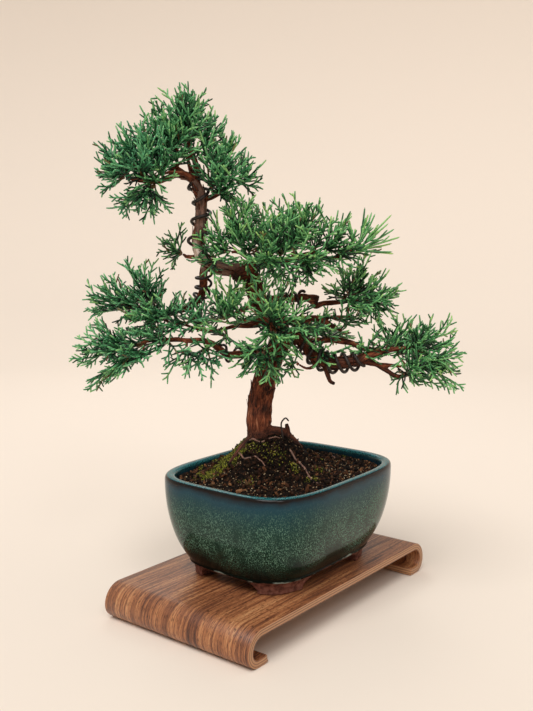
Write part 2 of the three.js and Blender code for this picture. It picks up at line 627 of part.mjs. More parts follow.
const whipReach = (t, length, luck) => {
  const swell = 0.6 + 0.5 * Math.sin(Math.PI * (0.1 + 0.75 * t));
  const reach = SPRAY.reach * length * swell * (0.85 + 0.3 * luck);
  return THREE.MathUtils.clamp(reach, SPRAY.shortest, SPRAY.longest);
};

// The first of a few turned or shortened whips that touches nothing, in its own shoot or another.
const clearWhip = (start, axis, direction, reach) => {
  const tries = [1, 0.75, 0.5].flatMap((share) => [0, 20, -20, 40, -40].map((degrees) => {
    const turned = direction.clone().applyAxisAngle(axis, THREE.MathUtils.degToRad(degrees));
    return start.clone().addScaledVector(turned, reach * share);
  }));
  return tries.find((end) => {
    const out = end.clone().sub(start).normalize();
    const outside = start.clone().addScaledVector(out, 3);
    return isClear('', outside, end, SPRAY.whip);
  });
};

// A spray is a three-sided stem that ends in a point. At each whorl the three faces of a short
// stretch of it are drawn out into whips.
const growSpray = (owner, from, tip, seed) => {
  const curve = clearSprayCurve(owner, from, tip);
  if (!curve) return null;
  takeCurve(owner, curve, () => SPRAY.stem, 4);
  const length = curve.getLength();
  const frameCount = 40;
  const frames = curve.computeFrenetFrames(frameCount, false);
  const radial = (t, turn) => {
    const frame = Math.round(t * frameCount);
    return frames.normals[frame].clone().multiplyScalar(Math.cos(turn))
      .addScaledVector(frames.binormals[frame], Math.sin(turn));
  };
  const corners = [];
  const triangles = [];
  const addCorner = (point) => corners.push(point) - 1;
  const addRing = (t, turn) => [0, 1, 2].map((j) => addCorner(curve.getPointAt(t).addScaledVector(
    radial(t, turn + (j * 2 * Math.PI) / 3),
    THREE.MathUtils.lerp(SPRAY.stem, SPRAY.tip, t),
  )));
  // Two rings may be turned against each other, so a face is split along its shorter diagonal.
  const addFace = (a, b, c, d) => triangles.push([a, b, d], [b, c, d]);
  const addPoint = (rim, apex) => rim.forEach((corner, i) => {
    triangles.push([corner, rim[(i + 1) % rim.length], apex]);
  });

  const whorls = length > SPRAY.long ? 3 : 2;
  let behind = addRing(0, seed);
  triangles.push([behind[0], behind[2], behind[1]]);
  for (let w = 0; w < whorls; w += 1) {
    const t = (w + 1) / (whorls + 0.6);
    const half = SPRAY.whorl / 2 / length;
    const turn = seed + (w * Math.PI) / 3;
    const near = addRing(t - half, turn);
    const far = addRing(t + half, turn);
    const tangent = curve.getTangentAt(t);
    for (let j = 0; j < 3; j += 1) {
      const next = (j + 1) % 3;
      addFace(behind[j], behind[next], near[next], near[j]);
      const rim = [near[j], near[next], far[next], far[j]];
      const out = radial(t, turn + ((j + 0.5) * 2 * Math.PI) / 3);
      const start = curve.getPointAt(t).addScaledVector(out, SPRAY.stem / 2);
      const reach = whipReach(t, length, chance(seed, w, j));
      const end = clearWhip(start, tangent, whipDirection(t, tangent, out), reach);
      if (end && end.clone().sub(start).dot(out) > 1) {
        take(owner, start.clone().lerp(end, 0.1), end, SPRAY.whip);
        addPoint(rim, addCorner(end));
      } else {
        addFace(...rim);
      }
    }
    behind = far;
  }
  addPoint(behind, addCorner(curve.getPointAt(1)));
  return new wasm.Manifold(new wasm.Mesh({
    numProp: 3,
    vertProperties: new Float32Array(corners.flatMap((corner) => corner.toArray())),
    triVerts: new Uint32Array(triangles.flat()),
  }));
};

const twigs = [];
const foliage = {};
const shootNames = Object.keys(SHOOTS);
const TWIG = { from: 1.9, to: 1.3 }; // radius of a shoot's brown twig at the limb and at the green

// Each shoot grows from the limb nearest to it, on a brown twig that belongs to the tree.
const twigOf = (base) => {
  const from = nearestOnLimbs(base);
  const middle = from.on.clone().lerp(base, 0.5).addScaledVector(UP, from.distance * 0.06);
  const curve = new THREE.CatmullRomCurve3([from.on, middle, base]);
  return { curve, direction: curve.getTangent(1), distance: from.distance };
};

const shootBases = shootNames.map((name) => {
  const base = treePoint(SHOOTS[name][0]);
  const twig = twigOf(base);
  const radiusAt = (s) => THREE.MathUtils.lerp(TWIG.from, TWIG.to, s);
  takeCurve('tree', twig.curve, radiusAt, 3);
  twigs.push(bentTube(twig.curve, radiusAt, 3, twig.distance > 12 ? 2 : 1));
  return { name, base, direction: twig.direction };
});

// The sprays of a shoot part at a small knot, just clear of the twig's end.
shootBases.forEach(({ name, base, direction }, index) => {
  const from = base.clone().addScaledVector(direction, GAP + SPRAY.knot);
  const knot = new THREE.OctahedronGeometry(SPRAY.knot);
  knot.translate(from.x, from.y, from.z);
  const sprays = SHOOTS[name].slice(1)
    .map((tip, j) => growSpray(name, from, treePoint(tip), index * 7 + j))
    .filter((solid) => solid);
  foliage[name] = largestBody(joined([solidOf(knot), ...sprays]));
});

const makeTree = () => joined([
  ...Object.values(limbs).map((limb) => limbSolid(limb, limb.diameter)),
  ...twigs,
]);

// The roots and the trunk stand in a plain hole in the soil.
const rootNames = ['trunk', ...Object.keys(ROOTS)];
const rootHole = () => joined([
  ...rootNames.map((name) => limbSolid(limbs[name], limbs[name].diameter, 2 * GAP)),
  makeWire('anchor_wire', GAP),
]);

const padRecess = () => joined([-1, 1].map((side) => box(
  MESH_PAD.side + 2 * GAP, MESH_PAD.side + 2 * GAP, MESH_PAD.thick + 4,
  POT.x + side * POT.holeSpread, POT.y, padBottom + MESH_PAD.thick + GAP - (MESH_PAD.thick + 4) / 2,
)));

// ---------------------------------------------------------------- the named pieces

const part = new THREE.Group();
const finish = (color, roughness, metalness = 0) => ({ color, roughness, metalness });
const WALNUT = finish(0x8a5f43, 0.45);
const GLAZE = finish(0x2f5f5c, 0.2);
const BLACK_PLASTIC = finish(0x26262a, 0.6);
const PEAT = finish(0x2b1d14, 0.95);
const BARK = finish(0x6b4430, 0.85);
const BROWN_ALUMINIUM = finish(0x2c211d, 0.45, 0.9);
const LEAF = finish(0x3f7a4a, 0.6);

const addPiece = (name, solid, look) => {
  const mesh = new THREE.Mesh(geometryOf(solid), new THREE.MeshStandardMaterial(look));
  mesh.name = name;
  part.add(mesh);
};

addPiece('stand', makeStand(), WALNUT);
addPiece('pot', makePot(), GLAZE);
addPiece('drain_mesh_left', makeMeshPad(-1), BLACK_PLASTIC);
addPiece('drain_mesh_right', makeMeshPad(1), BLACK_PLASTIC);
addPiece('soil', largestBody(makeSoil().subtract(joined([rootHole(), padRecess()]))), PEAT);
addPiece('tree', makeTree(), BARK);
Object.keys(wireCurves).forEach((name) => addPiece(name, makeWire(name), BROWN_ALUMINIUM));
Object.entries(foliage).forEach(([name, solid]) => addPiece(`foliage_${name}`, solid, LEAF));

// The origin is the middle of the whole object's box, on the surface that it stands on.
const extent = new THREE.Box3().setFromObject(part);
const middle = extent.getCenter(new THREE.Vector3());
part.position.set(-middle.x, -middle.y, -extent.min.z);

export default part;
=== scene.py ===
# %% [markdown]
# # A juniper bonsai in a glazed pot, on a bent-wood stand
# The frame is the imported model: plain solids of the right size, each in its right place. This
# script dresses it. It loads the frame, models a finer piece over each solid, gives every piece the
# finish that the real one has, and sets up a camera and soft light.

# %% Load the frame
import math

import bpy
import numpy as np
from mathutils import Matrix, Vector, kdtree, noise


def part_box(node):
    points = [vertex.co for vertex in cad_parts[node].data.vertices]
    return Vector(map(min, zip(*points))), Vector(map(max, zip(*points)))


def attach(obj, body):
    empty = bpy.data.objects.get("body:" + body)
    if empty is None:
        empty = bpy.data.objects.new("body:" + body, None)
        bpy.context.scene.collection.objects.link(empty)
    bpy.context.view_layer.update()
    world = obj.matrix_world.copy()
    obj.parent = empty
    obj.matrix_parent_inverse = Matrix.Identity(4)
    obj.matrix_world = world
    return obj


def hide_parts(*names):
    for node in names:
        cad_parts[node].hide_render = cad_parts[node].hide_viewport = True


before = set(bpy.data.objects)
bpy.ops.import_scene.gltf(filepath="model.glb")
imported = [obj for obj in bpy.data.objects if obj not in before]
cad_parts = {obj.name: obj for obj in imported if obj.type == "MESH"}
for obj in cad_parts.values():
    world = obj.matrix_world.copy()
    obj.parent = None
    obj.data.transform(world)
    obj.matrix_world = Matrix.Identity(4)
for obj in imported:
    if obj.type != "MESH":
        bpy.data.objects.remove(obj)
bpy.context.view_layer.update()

print("solids in the frame:", len(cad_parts))

# %% [markdown]
# ## Where things are
# All sizes below are in millimetres and are turned to metres when a mesh is made. The stand's
# middle is the origin of the stand, the pot and the soil. The tree has a frame of its own: x runs
# across the tree as it is shown, y towards its back and z up from the foot of the trunk.

# %% Sizes and frames
MM = 0.001
MERGE = 0.00001  # metres: points closer than this are one
GAP = 0.3  # air between neighbouring pieces

STAND = {
    "length": 296, "width": 172, "height": 33, "plate": 7,
    "top_bend": 19, "foot_bend": 14, "foot_flat": 5, "lip_bend": 30, "lip_turn": 15,
}
POT = {
    "half_length": 106.5, "half_width": 85, "x": 3, "y": -5,
    "foot_height": 11, "body_height": 86, "corner": 4, "hole_radius": 9, "hole_spread": 36,
}
SOIL = {"edge": 123, "mound": 37, "x": 10, "y": 2, "radius": 36}
TREE = {"x": -4, "y": 17, "z": 154, "turn": -52}

stand_low, stand_high = (np.array(corner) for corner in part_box("stand"))
stand_middle = (stand_low + stand_high) / 2 / MM
stand_middle[2] = 0
POT_FLOOR = STAND["height"] + GAP + POT["foot_height"]
print("middle of the stand, mm:", stand_middle.round(2))


def turned(x, y, degrees):
    """A point turned round the Z axis."""
    a = math.radians(degrees)
    return x * math.cos(a) - y * math.sin(a), x * math.sin(a) + y * math.cos(a)


def tree_point(x, y, z):
    """A point of the tree's frame, in the stand's, in millimetres."""
    x, y = turned(x, y, TREE["turn"])
    return np.array([x + TREE["x"], y + TREE["y"], z + TREE["z"]], float)


# %% [markdown]
# ## Small helpers for meshes
# An operator acts on all that is selected, so `clear_selection` comes before each new primitive and
# `pick` before work on a finished piece. `new_mesh` makes an object from arrays, for shapes that
# hold thousands of copies. `dress` gives a piece its material, says what it rides on and hides the
# solids that it stands for.

# %% Mesh helpers
def clear_selection():
    if bpy.context.object and bpy.context.object.mode == "EDIT":
        bpy.ops.object.mode_set(mode="OBJECT")
    bpy.ops.object.select_all(action="DESELECT")


def pick(piece):
    """Makes a piece the only one that is selected, and the active one."""
    clear_selection()
    piece.select_set(True)
    bpy.context.view_layer.objects.active = piece


def edit_all():
    """Opens edit mode with everything selected."""
    bpy.ops.object.mode_set(mode="EDIT")
    bpy.ops.mesh.select_all(action="SELECT")


def face_outwards():
    """Turns every face outwards and leaves edit mode."""
    bpy.ops.mesh.select_all(action="SELECT")
    bpy.ops.mesh.normals_make_consistent(inside=False)
    bpy.ops.object.mode_set(mode="OBJECT")


def apply_modifier(piece, kind, **settings):
    """Gives the active piece a modifier and applies it at once."""
    modifier = piece.modifiers.new(kind.lower(), kind)
    for name, value in settings.items():
        setattr(modifier, name, value)
    bpy.ops.object.modifier_apply(modifier=modifier.name)


def take_shape(piece):
    """The corners and the faces of a modelled piece, which is then deleted."""
    corners = np.array([vertex.co for vertex in piece.data.vertices])
    faces = [list(face.vertices) for face in piece.data.polygons]
    bpy.data.objects.remove(piece, do_unlink=True)
    return corners, faces


def copied_faces(faces, first_corners):
    """The faces of many copies of a shape, given the number of each copy's first corner."""
    return (faces[None] + first_corners[:, None, None]).reshape(-1, faces.shape[1])


def new_mesh(name, points, faces):
    """An object from points in millimetres of the stand's frame and faces as lists of numbers."""
    mesh = bpy.data.meshes.new(name)
    mesh.vertices.add(len(points))
    mesh.vertices.foreach_set("co", ((points + stand_middle) * MM).astype(np.float32).ravel())
    sizes = np.array([len(face) for face in faces])
    mesh.loops.add(int(sizes.sum()))
    mesh.loops.foreach_set("vertex_index", np.concatenate(faces).astype(np.int32))
    mesh.polygons.add(len(faces))
    mesh.polygons.foreach_set(
        "loop_start", np.concatenate([[0], sizes.cumsum()[:-1]]).astype(np.int32))
    mesh.update(calc_edges=True)
    piece = bpy.data.objects.new(name, mesh)
    bpy.context.scene.collection.objects.link(piece)
    return piece


def dress(piece, material, slot, *nodes):
    """Gives a finished piece its material and body, and hides the solids that it stands for. Its slot
    is not used.
    """
    piece.data.materials.clear()
    piece.data.materials.append(material)
    for face in piece.data.polygons:
        face.material_index = 0
    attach(piece, "root")
    if nodes:
        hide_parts(*nodes)
    triangles = sum(len(face.vertices) - 2 for face in piece.data.polygons)
    print(f"{piece.name}: {triangles} triangles")


def points_of(piece):
    """A piece's points in millimetres of the stand's frame."""
    points = np.empty(len(piece.data.vertices) * 3, np.float32)
    piece.data.vertices.foreach_get("co", points)
    return points.reshape(-1, 3).astype(float) / MM - stand_middle


def move_points(piece, points):
    piece.data.vertices.foreach_set("co", ((points + stand_middle) * MM).astype(np.float32).ravel())
    piece.data.update()


def write_values(piece, name, values):
    """Stores one number, or one vector, for each point of a piece, for a material to read."""
    kind, field = ("FLOAT", "value") if np.ndim(values) == 1 else ("FLOAT_VECTOR", "vector")
    layer = piece.data.attributes.new(name, kind, "POINT")
    layer.data.foreach_set(field, np.asarray(values, np.float32).ravel())


# %% [markdown]
# ## Colours and nodes
# A colour picked on a screen is sRGB, while a shader's sockets are linear, so one function turns
# hex values over. `add_node` adds a node with its settings and what feeds it, and `plug_in` feeds
# the finished colours into the shader.

# %% Material helpers
def colour(code):
    """An sRGB hex colour as linear red, green, blue and alpha."""
    parts = [int(code[i:i + 2], 16) / 255 for i in (0, 2, 4)]
    linear = [p / 12.92 if p <= 0.04045 else ((p + 0.055) / 1.055) ** 2.4 for p in parts]
    return (*linear, 1.0)


def find_socket(node, name):
    """A node's input socket by name, or nothing where it has none of that name."""
    return next((s for s in node.inputs if s.enabled and name in (s.identifier, s.name)), None)


def plug_in(material, links, node=None):
    """Feeds named sockets of a node from other nodes or their outputs. Where no node is given, it
    feeds the material's own shader."""
    node = node or material.node_tree.nodes["Principled BSDF"]
    for name, source in links.items():
        if isinstance(source, bpy.types.Node):
            source = next(s for s in source.outputs if s.enabled)
        material.node_tree.links.new(source, find_socket(node, name))


def add_node(material, kind, settings=None, links=None):
    """Adds a node. Settings name its properties or sockets, and links what feeds its sockets."""
    node = material.node_tree.nodes.new("ShaderNode" + kind)
    for name, value in (settings or {}).items():
        if name == "stops":
            ramp = node.color_ramp
            while len(ramp.elements) < len(value):
                ramp.elements.new(0.5)
            for element, (position, code) in zip(ramp.elements, value):
                element.position = position
                element.color = colour(code)
        elif find_socket(node, name) is not None:
            find_socket(node, name).default_value = value
        else:
            setattr(node, name, value)
    plug_in(material, links or {}, node)
    return node


def new_material(name, settings):
    """A material whose Principled shader has the settings that are the same all over."""
    material = bpy.data.materials.new(name)
    material.use_nodes = True
    for socket_name, value in settings.items():
        material.node_tree.nodes["Principled BSDF"].inputs[socket_name].default_value = value
    return material


# %% [markdown]
# ## The camera
# The camera stands where the photographer's did: low, looking along a corner of the stand. Its
# place and turn were worked out from the stand's and the pot's outlines. A camera looks down its
# own -Z, so its three axes are simply the columns of its matrix.

# %% Camera
LONG_SIDE = 711  # pixels
FOCAL = 887.2  # pixels
SENSOR = 36  # millimetres across the long side
camera_place = np.array([-675.3, -517.6, 351.2])
look_right = Vector((0.6163, -0.7875, 0)).normalized()
look_back = Vector((-0.7808, -0.6110, 0.1302)).normalized()
look_up = look_back.cross(look_right)

camera_data = bpy.data.cameras.new("photo_camera")
camera_data.sensor_width = SENSOR
camera_data.lens = FOCAL / LONG_SIDE * SENSOR
camera_data.clip_start = 0.01
camera = bpy.data.objects.new("photo_camera", camera_data)
turn = Matrix((look_right, look_up, look_back)).transposed()
camera.matrix_world = Matrix.Translation((camera_place + stand_middle) * MM) @ turn.to_4x4()
bpy.context.scene.collection.objects.link(camera)
bpy.context.scene.camera = camera
print("lens, mm:", round(camera_data.lens, 2))

# %% [markdown]
# ## Floor and light
# A photographer's table sweeps up behind the subject so that no edge shows. This part is looked at
# from all sides, so the floor is a wide shallow bowl: a flat disc whose rim curls up all round. It
# is a filled circle whose outer edge is extruded outwards and upwards, ring by ring. The main light
# is wide and soft and comes from high on the left. Two small lamps put a glint on the glaze.

# %% Floor, lamps and world
# Standard shows a picked hex colour as it is. The default, AgX, would grey it.
bpy.context.scene.view_settings.view_transform = "Standard"
FLAT_RADIUS = 1.7  # metres
RIM_CURL = 2.0  # metres, the radius that the rim curls up by
CURL_STEPS, CURL_TURN = 14, 6  # rings, and degrees from each to the next
clear_selection()
bpy.ops.mesh.primitive_circle_add(
    vertices=96, radius=FLAT_RADIUS, fill_type="NGON", location=(0, 0, 0))
floor = bpy.context.object
floor.name = "floor"
bpy.ops.object.mode_set(mode="EDIT")
bpy.ops.mesh.select_mode(type="EDGE")
bpy.ops.mesh.select_non_manifold(extend=False)
reach = FLAT_RADIUS
for step in range(1, CURL_STEPS + 1):
    angle, angle_before = math.radians(CURL_TURN * step), math.radians(CURL_TURN * (step - 1))
    new_reach = FLAT_RADIUS + RIM_CURL * math.sin(angle)
    rise = RIM_CURL * (1 - math.cos(angle)) - RIM_CURL * (1 - math.cos(angle_before))
    bpy.ops.mesh.extrude_edges_move(TRANSFORM_OT_translate={"value": (0, 0, rise)})
    grow = new_reach / reach
    bpy.ops.transform.resize(value=(grow, grow, 1), center_override=(0, 0, 0))
    reach = new_reach
bpy.ops.object.mode_set(mode="OBJECT")
bpy.ops.object.shade_smooth()
paper = new_material("matt_paper", {"Roughness": 0.9, "Specular IOR Level": 0.1})
# It is a shade darker far off, where the light would otherwise pile up on the curl.
paper_place = add_node(paper, "TexCoord").outputs["Object"]
far_off = add_node(paper, "VectorMath", {"operation": "LENGTH"},
                   {"Vector": paper_place}).outputs["Value"]
shade = add_node(paper, "MapRange", {"From Min": 0.7, "From Max": 1.7}, {"Value": far_off})
paper_tone = add_node(
    paper, "Mix", {"data_type": "RGBA", "A": colour("eee0d1"), "B": colour("e7d9ca")},
    {"Factor": shade})
plug_in(paper, {"Base Color": paper_tone})
floor.data.materials.append(paper)


def add_lamp(name, place, size, power, tint):
    """A square lamp that looks at the middle of the tree."""
    lamp_data = bpy.data.lights.new(name, "AREA")
    lamp_data.size = size
    lamp_data.energy = power
    lamp_data.color = colour(tint)[:3]
    lamp = bpy.data.objects.new(name, lamp_data)
    aim = Vector((0, 0, 0.2)) - Vector(place)
    lamp.location = place
    lamp.rotation_euler = aim.to_track_quat("-Z", "Y").to_euler()
    bpy.context.scene.collection.objects.link(lamp)


add_lamp("front_lamp", (-0.9, -1.3, 1.5), 0.45, 4.5, "ffffff")
add_lamp("back_lamp", (1.0, 1.1, 1.3), 0.7, 3.5, "ffffff")
# A sun with a wide disc lights all the floor alike, as softly as a cloudy sky does.
sky_data = bpy.data.lights.new("soft_sky", "SUN")
sky_data.energy = 2.0
sky_data.angle = math.radians(38)
sky = bpy.data.objects.new("soft_sky", sky_data)
sky.rotation_euler = Vector((0.5, 0.12, -0.85)).to_track_quat("-Z", "Y").to_euler()
bpy.context.scene.collection.objects.link(sky)

world = bpy.data.worlds.new("studio")
world.use_nodes = True
world.node_tree.nodes["Background"].inputs["Color"].default_value = colour("ffffff")
world.node_tree.nodes["Background"].inputs["Strength"].default_value = 0.43
bpy.context.scene.world = world

# %% [markdown]
# ## Walnut
# The stand is walnut veneer over thin glued layers, oiled to a satin sheen. The veneer's dark
# streaks run along the board and bend with it, so the pattern is drawn on coordinates that follow
# the board: how far along it, how far across it and how deep inside it. Those are stored on the
# mesh, and on the cut edges the depth draws the pale and dark layers.

# %% Walnut material
walnut = new_material(
    "oiled_walnut_veneer", {"IOR": 1.5, "Coat Weight": 0.12, "Coat Roughness": 0.3})
board = add_node(walnut, "Attribute", {"attribute_name": "board"}).outputs["Vector"]
# Streaks are 1 to 4 mm across and run on for 60 mm and more.
stretch = add_node(walnut, "Mapping", {"Scale": (0.035, 1, 0.25)}, {"Vector": board})
streaks = add_node(
    walnut, "TexNoise", {"Scale": 430, "Detail": 4, "Roughness": 0.6, "Distortion": 0.5},
    {"Vector": stretch})
bands = add_node(
    walnut, "TexNoise", {"Scale": 95, "Detail": 2, "Roughness": 0.45, "Distortion": 0.8},
    {"Vector": stretch})
# Pores are short dark dashes, drawn twice as coarse as they are, so that they show: 0.7 by 5 mm.
pore_place = add_node(walnut, "Mapping", {"Scale": (0.14, 1, 1)}, {"Vector": board})
pores = add_node(walnut, "TexNoise", {"Scale": 1500, "Detail": 1}, {"Vector": pore_place})
mixed = add_node(walnut, "Mix", {"data_type": "FLOAT", "Factor": 0.36}, {"A": streaks, "B": bands})
veneer = add_node(walnut, "ValToRGB", {"stops": [
    (0.35, "44241a"), (0.43, "6e4028"), (0.495, "905937"), (0.55, "a66d45"), (0.64, "bd885c"),
]}, {"Fac": mixed})
pore_tone = add_node(
    walnut, "ValToRGB", {"stops": [(0.36, "6b5a50"), (0.45, "ffffff")]}, {"Fac": pores})
with_pores = add_node(
    walnut, "Mix", {"data_type": "RGBA", "blend_type": "MULTIPLY", "Factor": 0.8},
    {"A": veneer, "B": pore_tone})
# The cut edge shows layers a little over 1 mm thick, pale and dark in turn.
depth = add_node(walnut, "SeparateXYZ", {}, {"Vector": board}).outputs["Z"]
layer_wave = add_node(
    walnut, "Math", {"operation": "MULTIPLY", "Value_001": 2 * math.pi / 0.0023}, {"Value": depth})
layer_sine = add_node(walnut, "Math", {"operation": "SINE"}, {"Value": layer_wave})
layer_tone = add_node(
    walnut, "MapRange", {"From Min": -0.95, "From Max": -0.2}, {"Value": layer_sine})
layers = add_node(
    walnut, "Mix", {"data_type": "RGBA", "A": colour("6b452f"), "B": colour("b3835c")},
    {"Factor": layer_tone})
cut = add_node(walnut, "Attribute", {"attribute_name": "cut_edge"}).outputs["Fac"]
wood_colour = add_node(
    walnut, "Mix", {"data_type": "RGBA"}, {"Factor": cut, "A": with_pores, "B": layers})
wood_rough = add_node(walnut, "MapRange", {"To Min": 0.52, "To Max": 0.36}, {"Value": mixed})
wood_bump = add_node(walnut, "Bump", {"Strength": 0.25, "Distance": 0.0002}, {"Height": pores})
plug_in(walnut, {"Base Color": wood_colour, "Roughness": wood_rough, "Normal": wood_bump})

# %% [markdown]
# ## The stand
# The real board is pressed from thin layers over a former, flat on top and rolled under at both
# ends. It could be cut from a side view, but spinning is closer to how it is bent: the board's
# cross-section starts at the middle, is drawn out straight, spun round each bend's centre, and
# mirrored for the other end.

# %% Model the stand
BEND_STEPS = 12
top_x = STAND["length"] / 2 - STAND["top_bend"]
foot_x = STAND["length"] / 2 - STAND["foot_bend"]
bend_z = STAND["height"] - STAND["top_bend"]
lip_x = foot_x - STAND["foot_flat"]


def place(x, y, z):
    """A point of the stand's frame, in metres of the scene."""
    return tuple((np.array([x, y, z]) + stand_middle) * MM)


clear_selection()
bpy.ops.mesh.primitive_plane_add(size=1, location=(0, 0, 0))
stand = bpy.context.object
stand.name = "walnut_stand"
half_width = STAND["width"] / 2
section = [
    (-half_width, STAND["height"]), (half_width, STAND["height"]),
    (-half_width, STAND["height"] - STAND["plate"]), (half_width, STAND["height"] - STAND["plate"])]
for corner, (y, z) in zip(stand.data.vertices, section):
    corner.co = place(0, y, z)
edit_all()
bpy.ops.mesh.extrude_region_move(TRANSFORM_OT_translate={"value": (top_x * MM, 0, 0)})
# A positive angle here turns from +Z towards -X, so the bends to the right take negative ones.
bpy.ops.mesh.spin(
    steps=BEND_STEPS, angle=math.radians(-90), center=place(top_x, 0, bend_z), axis=(0, 1, 0))
bpy.ops.mesh.spin(
    steps=BEND_STEPS, angle=math.radians(-90), center=place(foot_x, 0, bend_z), axis=(0, 1, 0))
bpy.ops.mesh.extrude_region_move(TRANSFORM_OT_translate={"value": (-STAND["foot_flat"] * MM, 0, 0)})
bpy.ops.mesh.spin(
    steps=3, angle=math.radians(-STAND["lip_turn"]), center=place(lip_x, 0, STAND["lip_bend"]),
    axis=(0, 1, 0))
bpy.ops.object.mode_set(mode="OBJECT")
print("stand after spinning, corners:", len(stand.data.vertices))

# %% [markdown]
# The spun half becomes the whole board. The section that it started from is deleted, because a
# mirror would leave it as a wall inside the wood. Then the half is mirrored, the doubles are
# merged, the normals are turned outwards and the cut edges get a small round.

# %% Mirror the stand and round its edges
EDGE_ROUND = 0.6  # mm
bpy.ops.object.mode_set(mode="EDIT")
bpy.ops.mesh.select_mode(type="FACE")
bpy.ops.mesh.select_all(action="DESELECT")
bpy.ops.object.mode_set(mode="OBJECT")
for face in stand.data.polygons:
    face.select = abs(face.center.x - stand_middle[0] * MM) < 1e-5 and abs(face.normal.x) > 0.9
bpy.ops.object.mode_set(mode="EDIT")
bpy.ops.mesh.delete(type="FACE")
bpy.ops.mesh.select_all(action="SELECT")
bpy.ops.mesh.remove_doubles(threshold=MERGE)
bpy.ops.object.mode_set(mode="OBJECT")
apply_modifier(stand, "MIRROR", merge_threshold=0.0001)
edit_all()
face_outwards()
apply_modifier(
    stand, "BEVEL", width=EDGE_ROUND * MM, segments=2, limit_method="ANGLE",
    angle_limit=math.radians(40))
bpy.ops.object.shade_smooth_by_angle(angle=math.radians(35))
stand_points = points_of(stand)
print("stand, mm:", stand_points.min(axis=0).round(1), stand_points.max(axis=0).round(1))

# %% [markdown]
# Each stretch of the side view is measured round its own centre.

# %% Coordinates that follow the board
def along_board(ax, z):
    """How far along the board a point of the side view lies, and how deep inside it is."""
    bend_top = top_x + math.radians(90) * STAND["top_bend"]
    bend_foot = bend_top + math.radians(90) * STAND["foot_bend"]
    if z >= bend_z:
        if ax <= top_x:
            return ax, STAND["height"] - z
        turned_by = math.atan2(ax - top_x, z - bend_z)
        return (top_x + turned_by * STAND["top_bend"],
                STAND["top_bend"] - math.hypot(ax - top_x, z - bend_z))
    if ax >= foot_x:
        turned_by = math.atan2(bend_z - z, ax - foot_x)
        return (bend_top + turned_by * STAND["foot_bend"],
                STAND["foot_bend"] - math.hypot(ax - foot_x, z - bend_z))
    if ax >= lip_x:
        return bend_foot + foot_x - ax, z
    turned_by = math.atan2(lip_x - ax, STAND["lip_bend"] - z)
    return (bend_foot + STAND["foot_flat"] + turned_by * STAND["lip_bend"],
            STAND["lip_bend"] - math.hypot(lip_x - ax, z - STAND["lip_bend"]))


bends_length = math.radians(90) * (STAND["top_bend"] + STAND["foot_bend"])
lip_length = math.radians(STAND["lip_turn"]) * STAND["lip_bend"]
board_end = top_x + bends_length + STAND["foot_flat"] + lip_length
board_values = []
cut_values = []
for x, y, z in stand_points:
    along, inward = along_board(abs(x), z)
    board_values.append((math.copysign(along, x) * MM, y * MM, inward * MM))
    at_side = abs(y) > half_width - 0.1
    at_end = along > board_end - 0.1
    cut_values.append(float(at_side or at_end))
write_values(stand, "board", board_values)
write_values(stand, "cut_edge", cut_values)
dress(stand, walnut, "walnut", "stand")
print("length of the board along its outer face, mm:", round(2 * board_end))

# %% [markdown]
# ## The glaze
# The pot is stoneware with a dark blue-green crystalline glaze. It melts and runs, so it is thin
# and brown where it breaks over the edge of the rim and bluer just under it. Its colour is darker
# towards the bottom of the wall. Pale specks grew in it while it cooled and are drawn out
# downwards. The feet are bare clay. The wall's height is read from Object coordinates, so the zones
# lie level all round.

# %% Glaze material
glaze = new_material("crystalline_stoneware_glaze", {"IOR": 1.5, "Specular IOR Level": 0.2})
where = add_node(glaze, "TexCoord").outputs["Object"]
height = add_node(glaze, "SeparateXYZ", {}, {"Vector": where}).outputs["Z"]
# The edges between zones wander by a millimetre or two.
wander = add_node(glaze, "TexNoise", {"Scale": 55, "Detail": 3}, {"Vector": where})
wander_up = add_node(glaze, "MapRange", {"To Min": -0.004, "To Max": 0.004}, {"Value": wander})
level = add_node(glaze, "Math", {"operation": "ADD"}, {"Value": height, "Value_001": wander_up})
BODY_LOW = POT_FLOOR * MM
BODY_HIGH = (POT_FLOOR + POT["body_height"]) * MM
# Lower down the glaze ran, so its zones hang up to a centimetre lower in some places.
run = add_node(glaze, "TexNoise", {"Scale": 17, "Detail": 1}, {"Vector": where})
run_up = add_node(
    glaze, "MapRange", {"From Min": 0.3, "From Max": 0.7, "To Min": -0.011, "To Max": 0.011},
    {"Value": run})
run_share = add_node(
    glaze, "MapRange", {"From Min": BODY_LOW, "From Max": BODY_HIGH, "To Min": 1, "To Max": 0},
    {"Value": height})
run_here = add_node(
    glaze, "Math", {"operation": "MULTIPLY_ADD"},
    {"Value": run_up, "Value_001": run_share, "Value_002": level})
share_up = add_node(
    glaze, "MapRange", {"From Min": BODY_LOW, "From Max": BODY_HIGH}, {"Value": run_here})
ground = add_node(glaze, "ValToRGB", {"stops": [
    (0.0, "050b08"), (0.12, "06120d"), (0.2, "091d15"), (0.38, "0f2a21"), (0.62, "12332b"),
    (0.8, "143a3e"), (0.9, "143b48"), (0.95, "12262f"), (0.975, "17110f"),
]}, {"Fac": share_up})
